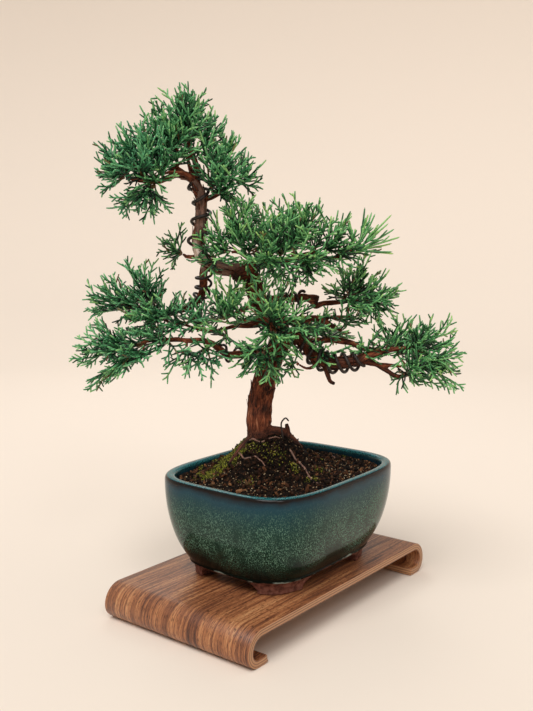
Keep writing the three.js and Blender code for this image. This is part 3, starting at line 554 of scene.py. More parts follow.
# Specks are 0.8 mm across and twice as long, in clouds some 15 mm wide.
speck_place = add_node(glaze, "Mapping", {"Scale": (1, 1, 0.5)}, {"Vector": where})
specks = add_node(
    glaze, "TexNoise", {"Scale": 1250, "Detail": 3, "Roughness": 0.65}, {"Vector": speck_place})
clouds = add_node(glaze, "TexNoise", {"Scale": 70, "Detail": 2}, {"Vector": speck_place})
speck_mask = add_node(glaze, "MapRange", {"From Min": 0.525, "From Max": 0.605}, {"Value": specks})
cloud_mask = add_node(glaze, "MapRange", {"From Min": 0.26, "From Max": 0.5}, {"Value": clouds})
zone_mask = add_node(glaze, "ValToRGB", {"stops": [
    (0.08, "000000"), (0.18, "505050"), (0.32, "c0c0c0"), (0.5, "b8b8b8"), (0.7, "a0a0a0"),
    (0.86, "464646"), (0.95, "101010"),
]}, {"Fac": share_up})
speck_amount = add_node(
    glaze, "Math", {"operation": "MULTIPLY"}, {"Value": speck_mask, "Value_001": cloud_mask})
speck_share = add_node(
    glaze, "Math", {"operation": "MULTIPLY"}, {"Value": speck_amount, "Value_001": zone_mask})
speckled = add_node(glaze, "Mix", {"data_type": "RGBA", "B": colour("8dbfa4")},
                    {"Factor": speck_share, "A": ground})
# The rim's top is turquoise with near-black specks, and its outer edge breaks to brown.
rim_value = add_node(glaze, "Attribute", {"attribute_name": "rim"}).outputs["Fac"]
rim_tone = add_node(glaze, "ValToRGB", {"stops": [
    (0.42, "0c1c20"), (0.5, "1f656c"), (0.62, "378c8c"),
]}, {"Fac": specks})
with_rim = add_node(
    glaze, "Mix", {"data_type": "RGBA"}, {"Factor": rim_value, "A": speckled, "B": rim_tone})
edge_value = add_node(glaze, "Attribute", {"attribute_name": "rim_edge"}).outputs["Fac"]
edge_share = add_node(
    glaze, "Math", {"operation": "MULTIPLY", "Value_001": 0.95}, {"Value": edge_value})
with_edge = add_node(
    glaze, "Mix", {"data_type": "RGBA", "B": colour("1a1412")},
    {"Factor": edge_share, "A": with_rim})
# Bare clay: mauve-brown, a little mottled.
clay_noise = add_node(glaze, "TexNoise", {"Scale": 260, "Detail": 4}, {"Vector": where})
clay = add_node(
    glaze, "ValToRGB", {"stops": [(0.35, "4d3029"), (0.5, "6d453a"), (0.65, "80564a")]},
    {"Fac": clay_noise})
bare = add_node(
    glaze, "MapRange", {"From Min": BODY_LOW + 0.0018, "From Max": BODY_LOW + 0.0008},
    {"Value": level})
# Where the glaze stopped, it dried to a broken whitish crust.
crust_low = add_node(
    glaze, "MapRange", {"From Min": BODY_LOW + 0.001, "From Max": BODY_LOW + 0.0016},
    {"Value": level})
crust_high = add_node(
    glaze, "MapRange", {"From Min": BODY_LOW + 0.0032, "From Max": BODY_LOW + 0.0022},
    {"Value": level})
crust_band = add_node(
    glaze, "Math", {"operation": "MULTIPLY"}, {"Value": crust_low, "Value_001": crust_high})
crust_breaks = add_node(glaze, "MapRange", {"From Min": 0.54, "From Max": 0.62}, {"Value": clouds})
crust = add_node(
    glaze, "Math", {"operation": "MULTIPLY"}, {"Value": crust_band, "Value_001": crust_breaks})
with_crust = add_node(
    glaze, "Mix", {"data_type": "RGBA", "B": colour("87938a")}, {"Factor": crust, "A": with_edge})
glazed_colour = add_node(
    glaze, "Mix", {"data_type": "RGBA"}, {"Factor": bare, "A": with_crust, "B": clay})
glaze_rough = add_node(glaze, "MapRange", {"To Min": 0.14, "To Max": 0.78}, {"Value": bare})
# Low on the pot the glaze ran thin, and it mirrors less of the wood there.
glaze_mirror = add_node(
    glaze, "MapRange", {"From Min": 0.1, "From Max": 0.45, "To Min": 0.07, "To Max": 0.2},
    {"Value": share_up})
glaze_bump = add_node(glaze, "Bump", {"Strength": 0.12, "Distance": 0.0004}, {"Height": wander})
plug_in(glaze, {"Base Color": glazed_colour, "Roughness": glaze_rough,
                "Specular IOR Level": glaze_mirror, "Normal": glaze_bump})

# %% [markdown]
# ## The pot
# Such a pot is pressed in a mould, so its outline is a rounded rectangle and its wall swells
# upwards. A circle is drawn out to that outline and then extruded ring by ring: outside up to the
# rim, over it, and down inside to the floor. A subdivision surface rounds it off.

# %% Model the pot's wall
RING_POINTS = 96
OUTLINE_LONGER = POT["half_length"] - POT["half_width"]


def outline(radius, z, count=RING_POINTS):
    """Evenly spaced points round the pot's outline, where half its width is the radius."""
    angles = np.linspace(0, 2 * math.pi, 7200, endpoint=False)
    power = 2 / POT["corner"]
    c, s = np.cos(angles), np.sin(angles)
    x = (radius + OUTLINE_LONGER) * np.sign(c) * np.abs(c) ** power
    y = radius * np.sign(s) * np.abs(s) ** power
    steps = np.hypot(np.diff(x, append=x[0]), np.diff(y, append=y[0]))
    run = np.concatenate([[0], steps.cumsum()])
    marks = np.linspace(0, run[-1], count, endpoint=False)
    x = np.interp(marks, run, np.append(x, x[0]))
    y = np.interp(marks, run, np.append(y, y[0]))
    return np.stack([x + POT["x"], y + POT["y"], np.full(count, z)], 1)


def ring_object(name, radius, z):
    """A circle set to the pot's outline."""
    clear_selection()
    bpy.ops.mesh.primitive_circle_add(vertices=RING_POINTS, radius=radius * MM, location=(0, 0, 0))
    ring = bpy.context.object
    ring.name = name
    move_points(ring, outline(radius, z))
    bpy.ops.object.mode_set(mode="EDIT")
    bpy.ops.mesh.select_mode(type="EDGE")
    bpy.ops.mesh.select_all(action="SELECT")
    return ring


def extrude_rings(profile):
    """Extrudes the selected ring through a list of heights and half widths."""
    for (z0, r0), (z1, r1) in zip(profile, profile[1:]):
        bpy.ops.mesh.extrude_edges_move(TRANSFORM_OT_translate={"value": (0, 0, (z1 - z0) * MM)})
        grow_x = (r1 + OUTLINE_LONGER) / (r0 + OUTLINE_LONGER)
        bpy.ops.transform.resize(
            value=(grow_x, r1 / r0, 1), center_override=place(POT["x"], POT["y"], 0))


# Half the pot's width at each share of its height: outside, over the rim, and down inside.
WALL = [
    (0.0, 63.0), (0.012, 65.2), (0.03, 66.2), (0.046, 65.6), (0.062, 66.5), (0.14, 70.8),
    (0.25, 75.3), (0.37, 78.8), (0.5, 81.5), (0.63, 83.4), (0.75, 84.5), (0.85, 84.9), (0.92, 85.0),
    (0.955, 85.0), (0.985, 84.5), (0.998, 83.2), (1.0, 81.6), (1.0, 79.0), (0.994, 77.3),
    (0.975, 76.3), (0.9, 75.5), (0.7, 73.6), (0.5, 71.0), (0.22, 61.5), (0.12, 53.0), (0.1, 50.0),
    (0.1, 36.0)]
pot = ring_object("glazed_pot", WALL[0][1], POT_FLOOR)
extrude_rings([(POT_FLOOR + share * POT["body_height"], radius) for share, radius in WALL])
# The floor inside and the underside are closed with flat faces.
bpy.ops.mesh.edge_face_add()
bpy.ops.mesh.select_non_manifold(extend=False)
bpy.ops.mesh.extrude_edges_move(TRANSFORM_OT_translate={"value": (0, 0, 0)})
bpy.ops.transform.resize(value=(0.55, 0.55, 1), center_override=place(POT["x"], POT["y"], 0))
bpy.ops.mesh.edge_face_add()
bpy.ops.mesh.select_all(action="SELECT")
bpy.ops.mesh.remove_doubles(threshold=MERGE)
face_outwards()
apply_modifier(pot, "SUBSURF", levels=1, render_levels=1)
print("pot wall, mm:", points_of(pot).min(axis=0).round(1), points_of(pot).max(axis=0).round(1))

# %% [markdown]
# The feet are what is left of a foot ring when an arch is cut through under each side. The ring is
# extruded like the wall, and the arches are short blocks with curved flanks that cut it with
# Boolean modifiers. Two round cutters open the drain holes in the same way.

# %% Cut the feet and the drain holes
FOOT_BOTTOM = STAND["height"] + GAP
FOOT_ROUND = 0.5  # mm, worn off the feet's edges
FOOT_RING = [
    (FOOT_BOTTOM + 0.8, 61.0), (FOOT_BOTTOM + 4, 60.8), (POT_FLOOR - 3, 62.0),
    (POT_FLOOR + 1.5, 63.5), (POT_FLOOR + 1.5, 46), (POT_FLOOR - 3, 46), (FOOT_BOTTOM + 0.8, 46.6),
    (FOOT_BOTTOM, 47.4), (FOOT_BOTTOM, 60.2), (FOOT_BOTTOM + 0.8, 61.0)]
feet = ring_object("pot_feet", FOOT_RING[0][1], FOOT_RING[0][0])
extrude_rings(FOOT_RING)
bpy.ops.mesh.select_all(action="SELECT")
bpy.ops.mesh.remove_doubles(threshold=2 * MERGE)
face_outwards()


def cut_with(piece, cutter, operation="DIFFERENCE"):
    """Cuts one piece with another, which is then deleted."""
    pick(piece)
    apply_modifier(piece, "BOOLEAN", operation=operation, object=cutter, solver="EXACT")
    bpy.data.objects.remove(cutter, do_unlink=True)


def arch_cutter(name, half_wide, half_narrow, reach, quarter_turn):
    """A block under the pot with cove-shaped flanks, wide at the stand and narrow at the glaze."""
    rise = POT["foot_height"]
    side = [(-half_wide, -1), (half_wide, -1)]
    for step in range(9):
        t = step / 8
        x = (1 - t) ** 2 * half_wide + 2 * t * (1 - t) * (half_wide - 3) + t * t * half_narrow
        z = (1 - t) ** 2 * rise * 0.25 + 2 * t * (1 - t) * rise * 0.75 + t * t * rise * 0.97
        side.append((x, z))
    side += [(-x, z) for x, z in reversed(side[2:])]
    clear_selection()
    bpy.ops.mesh.primitive_circle_add(vertices=len(side), radius=0.01, fill_type="NGON")
    cutter = bpy.context.object
    cutter.name = name
    ring = []
    for x, z in side:
        across, back = (-reach, x) if quarter_turn else (x, -reach)
        ring.append((POT["x"] + across, POT["y"] + back, FOOT_BOTTOM + z))
    move_points(cutter, np.array(ring))
    edit_all()
    through = (2 * reach * MM, 0, 0) if quarter_turn else (0, 2 * reach * MM, 0)
    bpy.ops.mesh.extrude_region_move(TRANSFORM_OT_translate={"value": through})
    face_outwards()
    return cutter


cut_with(feet, arch_cutter("arch_front", 45, 34, POT["half_width"], False))
cut_with(feet, arch_cutter("arch_side", 34, 27, POT["half_length"], True))
pick(feet)
apply_modifier(
    feet, "BEVEL", width=FOOT_ROUND * MM, segments=2, limit_method="ANGLE",
    angle_limit=math.radians(50))
cut_with(pot, feet, "UNION")
for side in (-1, 1):
    clear_selection()
    bpy.ops.mesh.primitive_cylinder_add(
        vertices=32, radius=POT["hole_radius"] * MM, depth=0.05,
        location=place(POT["x"] + side * POT["hole_spread"], POT["y"], POT_FLOOR))
    cut_with(pot, bpy.context.object)
pick(pot)
bpy.ops.object.shade_smooth_by_angle(angle=math.radians(38))

# %% [markdown]
# Two values on the mesh tell the glaze where the rim is. One is 1 on the rim's top and inner side.
# The other is 1 on the line round its outer edge, where the glaze ran thin.

# %% Mark the rim
HALVINGS = 24
pot_points = points_of(pot)
share = (pot_points[:, 2] - POT_FLOOR) / POT["body_height"]
flat = np.abs(pot_points[:, :2] - (POT["x"], POT["y"]))
# The half width that a point's outline has: solved by halving, since the outline's length differs.
low_radius = np.full(len(flat), 1.0)
high_radius = np.full(len(flat), 120.0)
for _ in range(HALVINGS):
    guess = (low_radius + high_radius) / 2
    shares = flat / np.stack([guess + OUTLINE_LONGER, guess], 1)
    outside = (shares ** POT["corner"]).sum(axis=1) > 1
    low_radius = np.where(outside, guess, low_radius)
    high_radius = np.where(outside, high_radius, guess)
half_across = (low_radius + high_radius) / 2
on_rim = np.clip((share - 0.95) / 0.03, 0, 1) * np.clip((84.0 - half_across) / 1.0, 0, 1)
on_rim *= np.clip((half_across - 75.8) / 0.8, 0, 1)
on_edge = np.clip((share - 0.962) / 0.015, 0, 1) * np.clip((half_across - 82.9) / 0.9, 0, 1)
write_values(pot, "rim", on_rim)
write_values(pot, "rim_edge", on_edge)
dress(pot, glaze, "glaze", "pot")

# %% [markdown]
# ## The drain meshes
# A square of moulded black plastic mesh lies over each drain hole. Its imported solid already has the
# right shape, so it stays and only gets a better finish: dull, a little worn and dusted with peat.

# %% Finish the drain meshes
mesh_plastic = new_material("moulded_black_polypropylene", {"IOR": 1.49})
plastic_place = add_node(mesh_plastic, "TexCoord").outputs["Object"]
dust = add_node(mesh_plastic, "TexNoise", {"Scale": 300, "Detail": 4}, {"Vector": plastic_place})
plastic_tone = add_node(
    mesh_plastic, "ValToRGB", {"stops": [(0.45, "1b1b1d"), (0.7, "3a2f28")]}, {"Fac": dust})
plastic_rough = add_node(mesh_plastic, "MapRange", {"To Min": 0.45, "To Max": 0.8}, {"Value": dust})
plug_in(mesh_plastic, {"Base Color": plastic_tone, "Roughness": plastic_rough})
for node in ("drain_mesh_left", "drain_mesh_right"):
    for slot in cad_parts[node].material_slots:
        slot.material = mesh_plastic

# %% [markdown]
# ## Limbs and the curves that they follow
# The trunk, the branches and the roots are lists of round sections, each a point in the tree's
# frame with a diameter. A curve runs through the points, and everything that hangs on the tree,
# bark, wires and shoots alike, is placed by it: how far along a limb and which way round.

# %% Sections of the trunk, the roots and the branches
LIMBS = {
    "trunk": [
        [1, 0, -40, 26], [1, 0, -22, 31], [-1, 0, -7, 28], [0, 0, 3, 25], [0, 0, 19, 24],
        [2, 0, 41, 23.5], [8, -2, 69, 22], [16, -3, 87, 20.5], [21, 0, 102, 19.5],
        [18, 3, 113, 18.5], [7, 6, 127, 18], [-2, 7, 142, 17], [-6, 8, 155, 16.5],
        [-9, 8, 166, 16.5], [-12, 8, 175, 14]],
    "leader": [
        [-8, 8, 167, 16], [-18, 6, 167, 15], [-30, 3, 168, 13.5], [-39, 1, 170, 12],
        [-48, -1, 174, 11.5], [-55, -2, 180, 12], [-58, -1, 190, 12.5], [-58, 0, 200, 12.5],
        [-56, 2, 211, 11.5], [-55, 3, 225, 11], [-55, 2, 236, 10.5], [-59, 1, 247, 10],
        [-65, 0, 255, 9], [-74, -2, 258, 8], [-80, -4, 258, 7]],
    "root_right": [[3, 0, 6, 16], [13, 1, 8, 12], [23, 2, 7, 11], [32, 2, 0, 9], [41, 0, -10, 7]],
    "root_stub": [[27, 1, 4, 7], [28, 0, 11, 5.5], [27, 0, 17, 4]],
    "root_left": [[-3, -2, 2, 14], [-12, -6, -2, 10], [-20, -12, -10, 7], [-28, -18, -20, 5]],
    "root_front": [[1, -4, 2, 13], [4, -12, -3, 9], [10, -22, -12, 6], [14, -32, -22, 5]],
    "root_back": [[0, 4, 2, 13], [-3, 14, -2, 9], [-6, 26, -12, 6]],
    "fork_stub": [[-12, 4, 165, 14], [-18, -2, 163, 13], [-22, -6, 161, 12]],
    "left_wired": [
        [-51, -1, 175, 9], [-53, 2, 166, 8], [-54, 6, 154, 8], [-56, 10, 144, 7.5],
        [-61, 14, 136, 7], [-72, 18, 129, 6.5], [-86, 20, 126, 5.5], [-100, 20, 125, 4.5],
        [-112, 20, 127, 3.5]],
    "left_thin": [
        [9, 2, 117, 6], [-3, 0, 114, 5.5], [-12, -3, 114, 5], [-22, -5, 114, 4.5],
        [-34, -7, 111, 4], [-45, -8, 109, 3.5], [-58, -10, 111, 3], [-72, -12, 116, 2.8],
        [-85, -12, 117, 2.5]],
    "left_low": [
        [11, -3, 88, 10], [-1, -6, 90, 8.5], [-10, -10, 88, 8], [-20, -12, 87, 8],
        [-30, -14, 87, 7.5], [-37, -15, 92, 7], [-45, -16, 98, 6.5], [-53, -16, 101, 6],
        [-66, -16, 101, 5.5], [-79, -16, 102, 5], [-92, -16, 101, 4.5], [-104, -17, 101, 4],
        [-115, -17, 98, 3]],
    "front": [[18, 0, 108, 6], [16, -12, 109, 5], [13, -22, 112, 4], [11, -32, 116, 3]],
    "bright": [[3, 4, 121, 6], [-8, -10, 119, 5], [-20, -17, 119, 4], [-29, -20, 118, 3]],
    "right_main": [
        [20, 0, 103, 14], [31, -2, 105, 13.5], [40, -5, 102, 13], [46, -8, 96, 13],
        [53, -10, 87, 13], [62, -12, 81, 13], [72, -14, 79, 12.5], [84, -16, 80, 11.5],
        [95, -18, 82, 10], [104, -20, 86, 8], [115, -21, 90, 6.5], [127, -22, 93, 5],
        [140, -22, 95, 4]],
    "right_mid": [[97, -18, 82, 7], [110, -20, 79, 5], [125, -21, 78, 4], [136, -22, 77, 3]],
    "right_under": [[108, -20, 81, 5], [121, -20, 73, 5], [133, -21, 67, 5], [142, -22, 69, 4]],
    "stub": [
        [63, -13, 80, 6], [65, -14, 72, 5.5], [67, -15, 65, 4.5], [69, -15, 61, 4],
        [73, -15, 59, 3.5]],
    "sprig": [[55, -12, 84, 5], [53, -13, 76, 4], [46, -14, 74, 3], [38, -16, 78, 2.5]],
    "right_second": [
        [22, 2, 99, 9], [40, 5, 98, 7.5], [58, 8, 98, 6.5], [70, 10, 99, 6.5], [82, 11, 97, 6.5],
        [92, 12, 95, 6], [102, 13, 90, 5.5], [114, 14, 89, 4.5], [126, 14, 88, 3.5]],
    "right_third": [
        [18, 4, 116, 9], [30, 6, 118, 8], [43, 8, 119, 7.5], [56, 10, 120, 6.5], [64, 12, 117, 5.5],
        [73, 14, 112, 4.5], [82, 15, 107, 3]],
    "right_third_up": [[56, 10, 120, 5], [70, 14, 121, 4], [82, 17, 121, 3.5], [92, 19, 121, 2.5]],
    "right_upper": [
        [3, 6, 135, 9], [21, 14, 140, 7.5], [35, 18, 139, 7.5], [45, 21, 140, 8],
        [53, 24, 136, 7.5], [56, 25, 131, 6.5], [63, 27, 133, 5.5], [73, 29, 134, 5],
        [86, 30, 135, 4], [99, 30, 136, 3.5], [105, 30, 136, 3]],
    "right_upper_stub": [[47, 22, 139, 8], [54, 22, 139, 8], [59, 21, 138, 7]],
    "middle": [
        [-7, 8, 169, 12], [5, 4, 173, 8.5], [17, 3, 175, 7.5], [28, 2, 177, 7.5], [40, 1, 180, 7],
        [51, 0, 182, 6.5], [61, -1, 179, 5.5], [70, -2, 179, 4.5], [80, -3, 181, 3.5],
        [87, -4, 185, 3]],
    "middle_front": [
        [-5, 6, 170, 9], [-6, -12, 176, 6], [-12, -22, 181, 4.5], [-19, -26, 185, 3.5]],
    "middle_left": [[-57, -2, 183, 7], [-63, 6, 180, 5], [-71, 13, 180, 4]],
    "middle_back": [[-9, 10, 169, 9], [-3, 30, 174, 5.5], [1, 44, 182, 4], [7, 54, 187, 3]],
    "back_right": [
        [5, 7, 130, 10], [13, 26, 127, 8], [21, 46, 121, 6.5], [28, 62, 115, 5],
        [32, 73, 109, 3.5]],
    "back_left": [[1, 8, 136, 8], [-9, 26, 131, 6], [-22, 42, 124, 5], [-32, 55, 117, 3.5]],
    "crown_left": [
        [-78, -3, 258, 7], [-87, -6, 254, 5.5], [-95, -8, 251, 5], [-104, -8, 251, 4.5],
        [-114, -8, 252, 4], [-121, -7, 253, 3]],
    "crown_stub": [[-69, 0, 257, 7], [-77, 0, 262, 7.5], [-84, 0, 265, 7]],
    "crown_up": [
        [-59, 1, 247, 8], [-59, 3, 259, 6.5], [-61, 5, 270, 6], [-65, 6, 281, 5], [-68, 6, 292, 4]],
    "crown_right": [
        [-55, 2, 237, 8], [-48, 3, 236, 6], [-41, 4, 239, 5], [-31, 5, 245, 4], [-26, 5, 248, 3]],
    "crown_back": [[-60, 2, 250, 7], [-65, 14, 261, 5], [-69, 20, 273, 4], [-71, 22, 281, 3]],
    "crown_front": [
        [-63, 0, 254, 7], [-70, -10, 258, 4.5], [-81, -16, 259, 3.5], [-98, -15, 255, 2.6]],
    "crown_twig": [[-63, 5, 274, 4], [-71, 2, 276, 3.5], [-78, -1, 281, 3]],
}

# %% [markdown]
# The curve is a centripetal Catmull-Rom spline, which passes through each point without loops. It
# is sampled once, at even steps of its length, and each sample gets a direction and two sideways
# axes. The axes are carried from sample to sample with the least turn, so that nothing twists.

# %% A limb's curve
SAMPLES = 200  # along each limb
FINE = 400  # steps that a curve's length is first measured by


def spline_point(points, t):
    """A point of the centripetal curve through the points, for t from 0 to 1."""
    position = t * (len(points) - 1)
    index = min(int(position), len(points) - 2)
    part = position - index
    p1, p2 = points[index], points[index + 1]
    p0 = points[index - 1] if index > 0 else 2 * p1 - p2
    p3 = points[index + 2] if index + 2 < len(points) else 2 * p2 - p1
    d0, d1, d2 = (
        max(np.linalg.norm(b - a), 1e-4) ** 0.5 for a, b in ((p0, p1), (p1, p2), (p2, p3)))
    start_slope = ((p1 - p0) / d0 - (p2 - p0) / (d0 + d1) + (p2 - p1) / d1) * d1
    end_slope = ((p2 - p1) / d1 - (p3 - p1) / (d1 + d2) + (p3 - p2) / d2) * d1
    square = -3 * p1 + 3 * p2 - 2 * start_slope - end_slope
    cube = 2 * p1 - 2 * p2 + start_slope + end_slope
    return p1 + start_slope * part + square * part ** 2 + cube * part ** 3


def even_curve(sample, count):
    """Points at even steps of a curve's length, their directions and two sideways axes."""
    fine = np.array([sample(i / FINE) for i in range(FINE + 1)])
    run = np.concatenate([[0], np.linalg.norm(np.diff(fine, axis=0), axis=1).cumsum()])
    marks = np.linspace(0, run[-1], count + 1)
    at = np.interp(marks, run, np.linspace(0, 1, FINE + 1))
    middles = np.array([sample(t) for t in at])
    ahead = np.array([sample(min(t + 0.0005, 1)) - sample(max(t - 0.0005, 0)) for t in at])
    ahead /= np.linalg.norm(ahead, axis=1, keepdims=True)
    smallest = int(np.where(np.abs(ahead[0]) <= np.abs(ahead[0]).min() + 1e-12)[0][-1])
    helper = np.cross(ahead[0], np.eye(3)[smallest])
    side = np.cross(ahead[0], helper / np.linalg.norm(helper))
    sides = [side]
    for before, after in zip(ahead, ahead[1:]):
        axis = np.cross(before, after)
        if np.linalg.norm(axis) > 1e-9:
            angle = math.acos(float(np.clip(before @ after, -1, 1)))
            side = np.array(Matrix.Rotation(angle, 3, Vector(axis).normalized()) @ Vector(side))
        sides.append(side)
    sides = np.array(sides)
    return {"middle": middles, "ahead": ahead, "side": sides, "over": np.cross(ahead, sides),
            "at": at, "length": float(run[-1])}


def make_limb(sections):
    points = [tree_point(*section[:3]) for section in sections]
    curve = even_curve(lambda t: spline_point(points, t), SAMPLES)
    radii = [section[3] / 2 for section in sections]
    curve["radius"] = np.interp(curve["at"] * (len(radii) - 1), range(len(radii)), radii)
    return curve


limbs = {name: make_limb(sections) for name, sections in LIMBS.items()}
print("limbs:", len(limbs), "trunk and leader, mm:",
      round(limbs["trunk"]["length"]), round(limbs["leader"]["length"]))

# %% [markdown]
# ## A rod along a curve
# Limbs, twigs, wires and fine roots are all rods that bend and taper. A Blender curve with a round
# bevel does that: each point carries its own radius, and Convert turns the curve into a mesh. One
# curve object can hold many splines, so a whole set of rods is made and converted together.

# %% Rods
def make_rods(name, rods, resolution):
    """One mesh from many rods, each a list of points in millimetres and a radius at each."""
    data = bpy.data.curves.new(name, "CURVE")
    data.dimensions = "3D"
    data.bevel_depth = MM
    data.bevel_resolution = resolution
    data.use_fill_caps = True
    for points, radii in rods:
        spline = data.splines.new("POLY")
        spline.points.add(len(points) - 1)
        flat_list = np.concatenate([(points + stand_middle) * MM, np.ones((len(points), 1))], 1)
        spline.points.foreach_set("co", flat_list.astype(np.float32).ravel())
        spline.points.foreach_set("radius", np.asarray(radii, np.float32))
    rod_object = bpy.data.objects.new(name, data)
    bpy.context.scene.collection.objects.link(rod_object)
    pick(rod_object)
    bpy.ops.object.convert(target="MESH")
    return bpy.context.object

# %% [markdown]
# ## The soil
# Peat and fine bark, heaped round the trunk and firm at the pot's wall. A ring is set to the pot's
# inner outline and extruded inwards in steps that shrink towards the mound's middle, so that each
# step can be lifted to the mound's height. The ring's lower side goes down the wall and is closed
# under the surface, where the pot hides it. Small lumps come last.

# %% Model the soil's body
SOIL_RADIUS = 75.5 - 2 * GAP  # inside the pot's wall
mound_middle = tree_point(SOIL["x"], SOIL["y"], 0)


def soil_height(points):
    """Height of the smooth soil at points of the stand's frame."""
    across, back = points[..., 0] - mound_middle[0], points[..., 1] - mound_middle[1]
    away = np.hypot(across, back) / SOIL["radius"]
    return SOIL["edge"] + SOIL["mound"] / (1 + away ** 4)


def lumps(points):
    """Small heaps and hollows: about 14 mm apart, with finer ones of 5 mm on them."""
    heights = []
    for x, y in points[:, :2]:
        heap = noise.noise(Vector((x / 14, y / 14, 3)))
        fine_heap = noise.noise(Vector((x / 5, y / 5, 8)))
        heights.append(1.9 * heap + 1.6 * fine_heap)
    return np.array(heights)


soil = ring_object("planting_soil", SOIL_RADIUS, SOIL["edge"])
share_now = 1.0
for share_next in np.concatenate([np.linspace(0.97, 0.06, 34), [0.03]]):
    bpy.ops.mesh.extrude_edges_move(TRANSFORM_OT_translate={"value": (0, 0, 0)})
    shrink = share_next / share_now
    bpy.ops.transform.resize(
        value=(shrink, shrink, 1), center_override=place(mound_middle[0], mound_middle[1], 0))
    share_now = share_next
bpy.ops.mesh.edge_face_add()
bpy.ops.mesh.select_non_manifold(extend=False)
WALL_DOWN = [  # heights and half widths
    (SOIL["edge"], SOIL_RADIUS), (POT_FLOOR + 43, 70.4), (POT_FLOOR + 19, 60.9),
    (POT_FLOOR + 9, 50)]
extrude_rings(WALL_DOWN)
bpy.ops.mesh.edge_face_add()
face_outwards()
soil_points = points_of(soil)
on_top = soil_points[:, 2] > SOIL["edge"] - 0.5
soil_points[on_top, 2] = soil_height(soil_points[on_top]) + lumps(soil_points[on_top])
move_points(soil, soil_points)
bpy.ops.object.shade_smooth()
print("soil, mm:", soil_points.min(axis=0).round(1), soil_points.max(axis=0).round(1))

# %% [markdown]
# Damp peat is dark brown to tan. Its colour follows the same noise as its bumps, so the raised
# parts are tan and the hollows between crumbs are painted nearly black, as shade. It has no gloss.

# %% Soil material
peat = new_material("damp_peat_and_bark", {"Specular IOR Level": 0.08})
soil_place = add_node(peat, "TexCoord").outputs["Object"]
crumb_cells = add_node(
    peat, "TexVoronoi", {"Scale": 420, "Randomness": 1.0}, {"Vector": soil_place})
crumb_noise = add_node(
    peat, "TexNoise", {"Scale": 330, "Detail": 5, "Roughness": 0.7}, {"Vector": soil_place})
# The low end of this ramp, read from the same noise as the bump, is painted shade in the hollows
# between crumbs.
peat_colour_and_hollow_shade = add_node(peat, "ValToRGB", {"stops": [
    (0.4, "050403"), (0.52, "150e09"), (0.6, "342115"), (0.68, "5c412a"), (0.77, "8c6a48"),
]}, {"Fac": crumb_noise})
cell_tone = add_node(
    peat, "ValToRGB", {"stops": [(0.0, "4a4038"), (0.55, "ffffff")]}, {"Fac": crumb_cells})
soil_colour = add_node(
    peat, "Mix", {"data_type": "RGBA", "blend_type": "MULTIPLY", "Factor": 0.6},
    {"A": peat_colour_and_hollow_shade, "B": cell_tone})
soil_rough = add_node(peat, "MapRange", {"To Min": 0.65, "To Max": 1.0}, {"Value": crumb_noise})
soil_bump = add_node(peat, "Bump", {"Strength": 1.0, "Distance": 0.0022}, {"Height": crumb_noise})
plug_in(peat, {"Base Color": soil_colour, "Roughness": soil_rough, "Normal": soil_bump})
dress(soil, peat, "peat", "soil")

# %% [markdown]
# ## Crumbs on the soil
# Bits of bark, peat lumps and a little tan grit lie on the surface. Three small stones of 20 faces
# each are modelled once, dented with seeded noise, and copied many times at random sizes and turns.
# A number on each copy picks its colour.

# %% Model three crumbs
def dented_crumb(stretch, seed):
    clear_selection()
    bpy.ops.mesh.primitive_ico_sphere_add(subdivisions=1, radius=1)
    edit_all()
    bpy.ops.transform.resize(value=stretch)
    bpy.ops.object.mode_set(mode="OBJECT")
    corners, faces = take_shape(bpy.context.object)
    dents = [1 + 0.28 * noise.noise(Vector(corner * 1.9) + Vector((seed, 0, 0)))
             for corner in corners]
    return corners * np.array(dents)[:, None], np.array(faces)


# A bit of bark, a lump of peat and a grain of grit.
CRUMBS = [
    dented_crumb((1.5, 0.8, 0.45), 1), dented_crumb((1.0, 0.9, 0.7), 5),
    dented_crumb((1.0, 0.85, 0.8), 9)]


def random_turns(rng, count):
    """Matrices that turn copies every way, from random unit quaternions."""
    w, x, y, z = rng.normal(size=(4, count))
    size = np.sqrt(w * w + x * x + y * y + z * z)
    w, x, y, z = w / size, x / size, y / size, z / size
    return np.stack([
        1 - 2 * (y * y + z * z), 2 * (x * y - z * w), 2 * (x * z + y * w),
        2 * (x * y + z * w), 1 - 2 * (x * x + z * z), 2 * (y * z - x * w),
        2 * (x * z - y * w), 2 * (y * z + x * w), 1 - 2 * (x * x + y * y),
    ], 1).reshape(-1, 3, 3)


# %% Scatter the crumbs
CRUMB_COUNT = 4600
BARE_RADIUS = 9  # mm round the trunk without crumbs
TRUNK_AT_SOIL = 60  # the trunk's sample at the soil
OFF_WALL = 0.97  # crumbs and moss keep inside this share of the soil's outline
SOIL_LONG, SOIL_WIDE = 95, 73  # mm, half the box that spots are drawn from
CRUMB_SIZES = (0.4, 3.0)  # mm, smallest and largest radius
CRUMB_SHARES = [0.47, 0.34, 0.19]  # of bark, peat and grit
trunk_foot = limbs["trunk"]["middle"][TRUNK_AT_SOIL][:2]
rng = np.random.default_rng(11)


def inside_pot(x, y):
    """Whether points, measured from the pot's middle, lie inside it and a little off its wall."""
    power = POT["corner"]
    share_x, share_y = abs(x / (SOIL_RADIUS + OUTLINE_LONGER)), abs(y / SOIL_RADIUS)
    return share_x ** power + share_y ** power < OFF_WALL ** power


def points_on_soil(count):
    """Random points on the soil, spread evenly over the pot's inner outline."""
    found = []
    while len(found) < count:
        x = rng.uniform(-SOIL_LONG, SOIL_LONG)
        y = rng.uniform(-SOIL_WIDE, SOIL_WIDE)
        spot = np.array([x + POT["x"], y + POT["y"], 0.0])
        if inside_pot(x, y) and np.hypot(*(spot[:2] - trunk_foot)) >= BARE_RADIUS:
            found.append(spot)
    found = np.array(found)
    found[:, 2] = soil_height(found) + lumps(found)
    return found


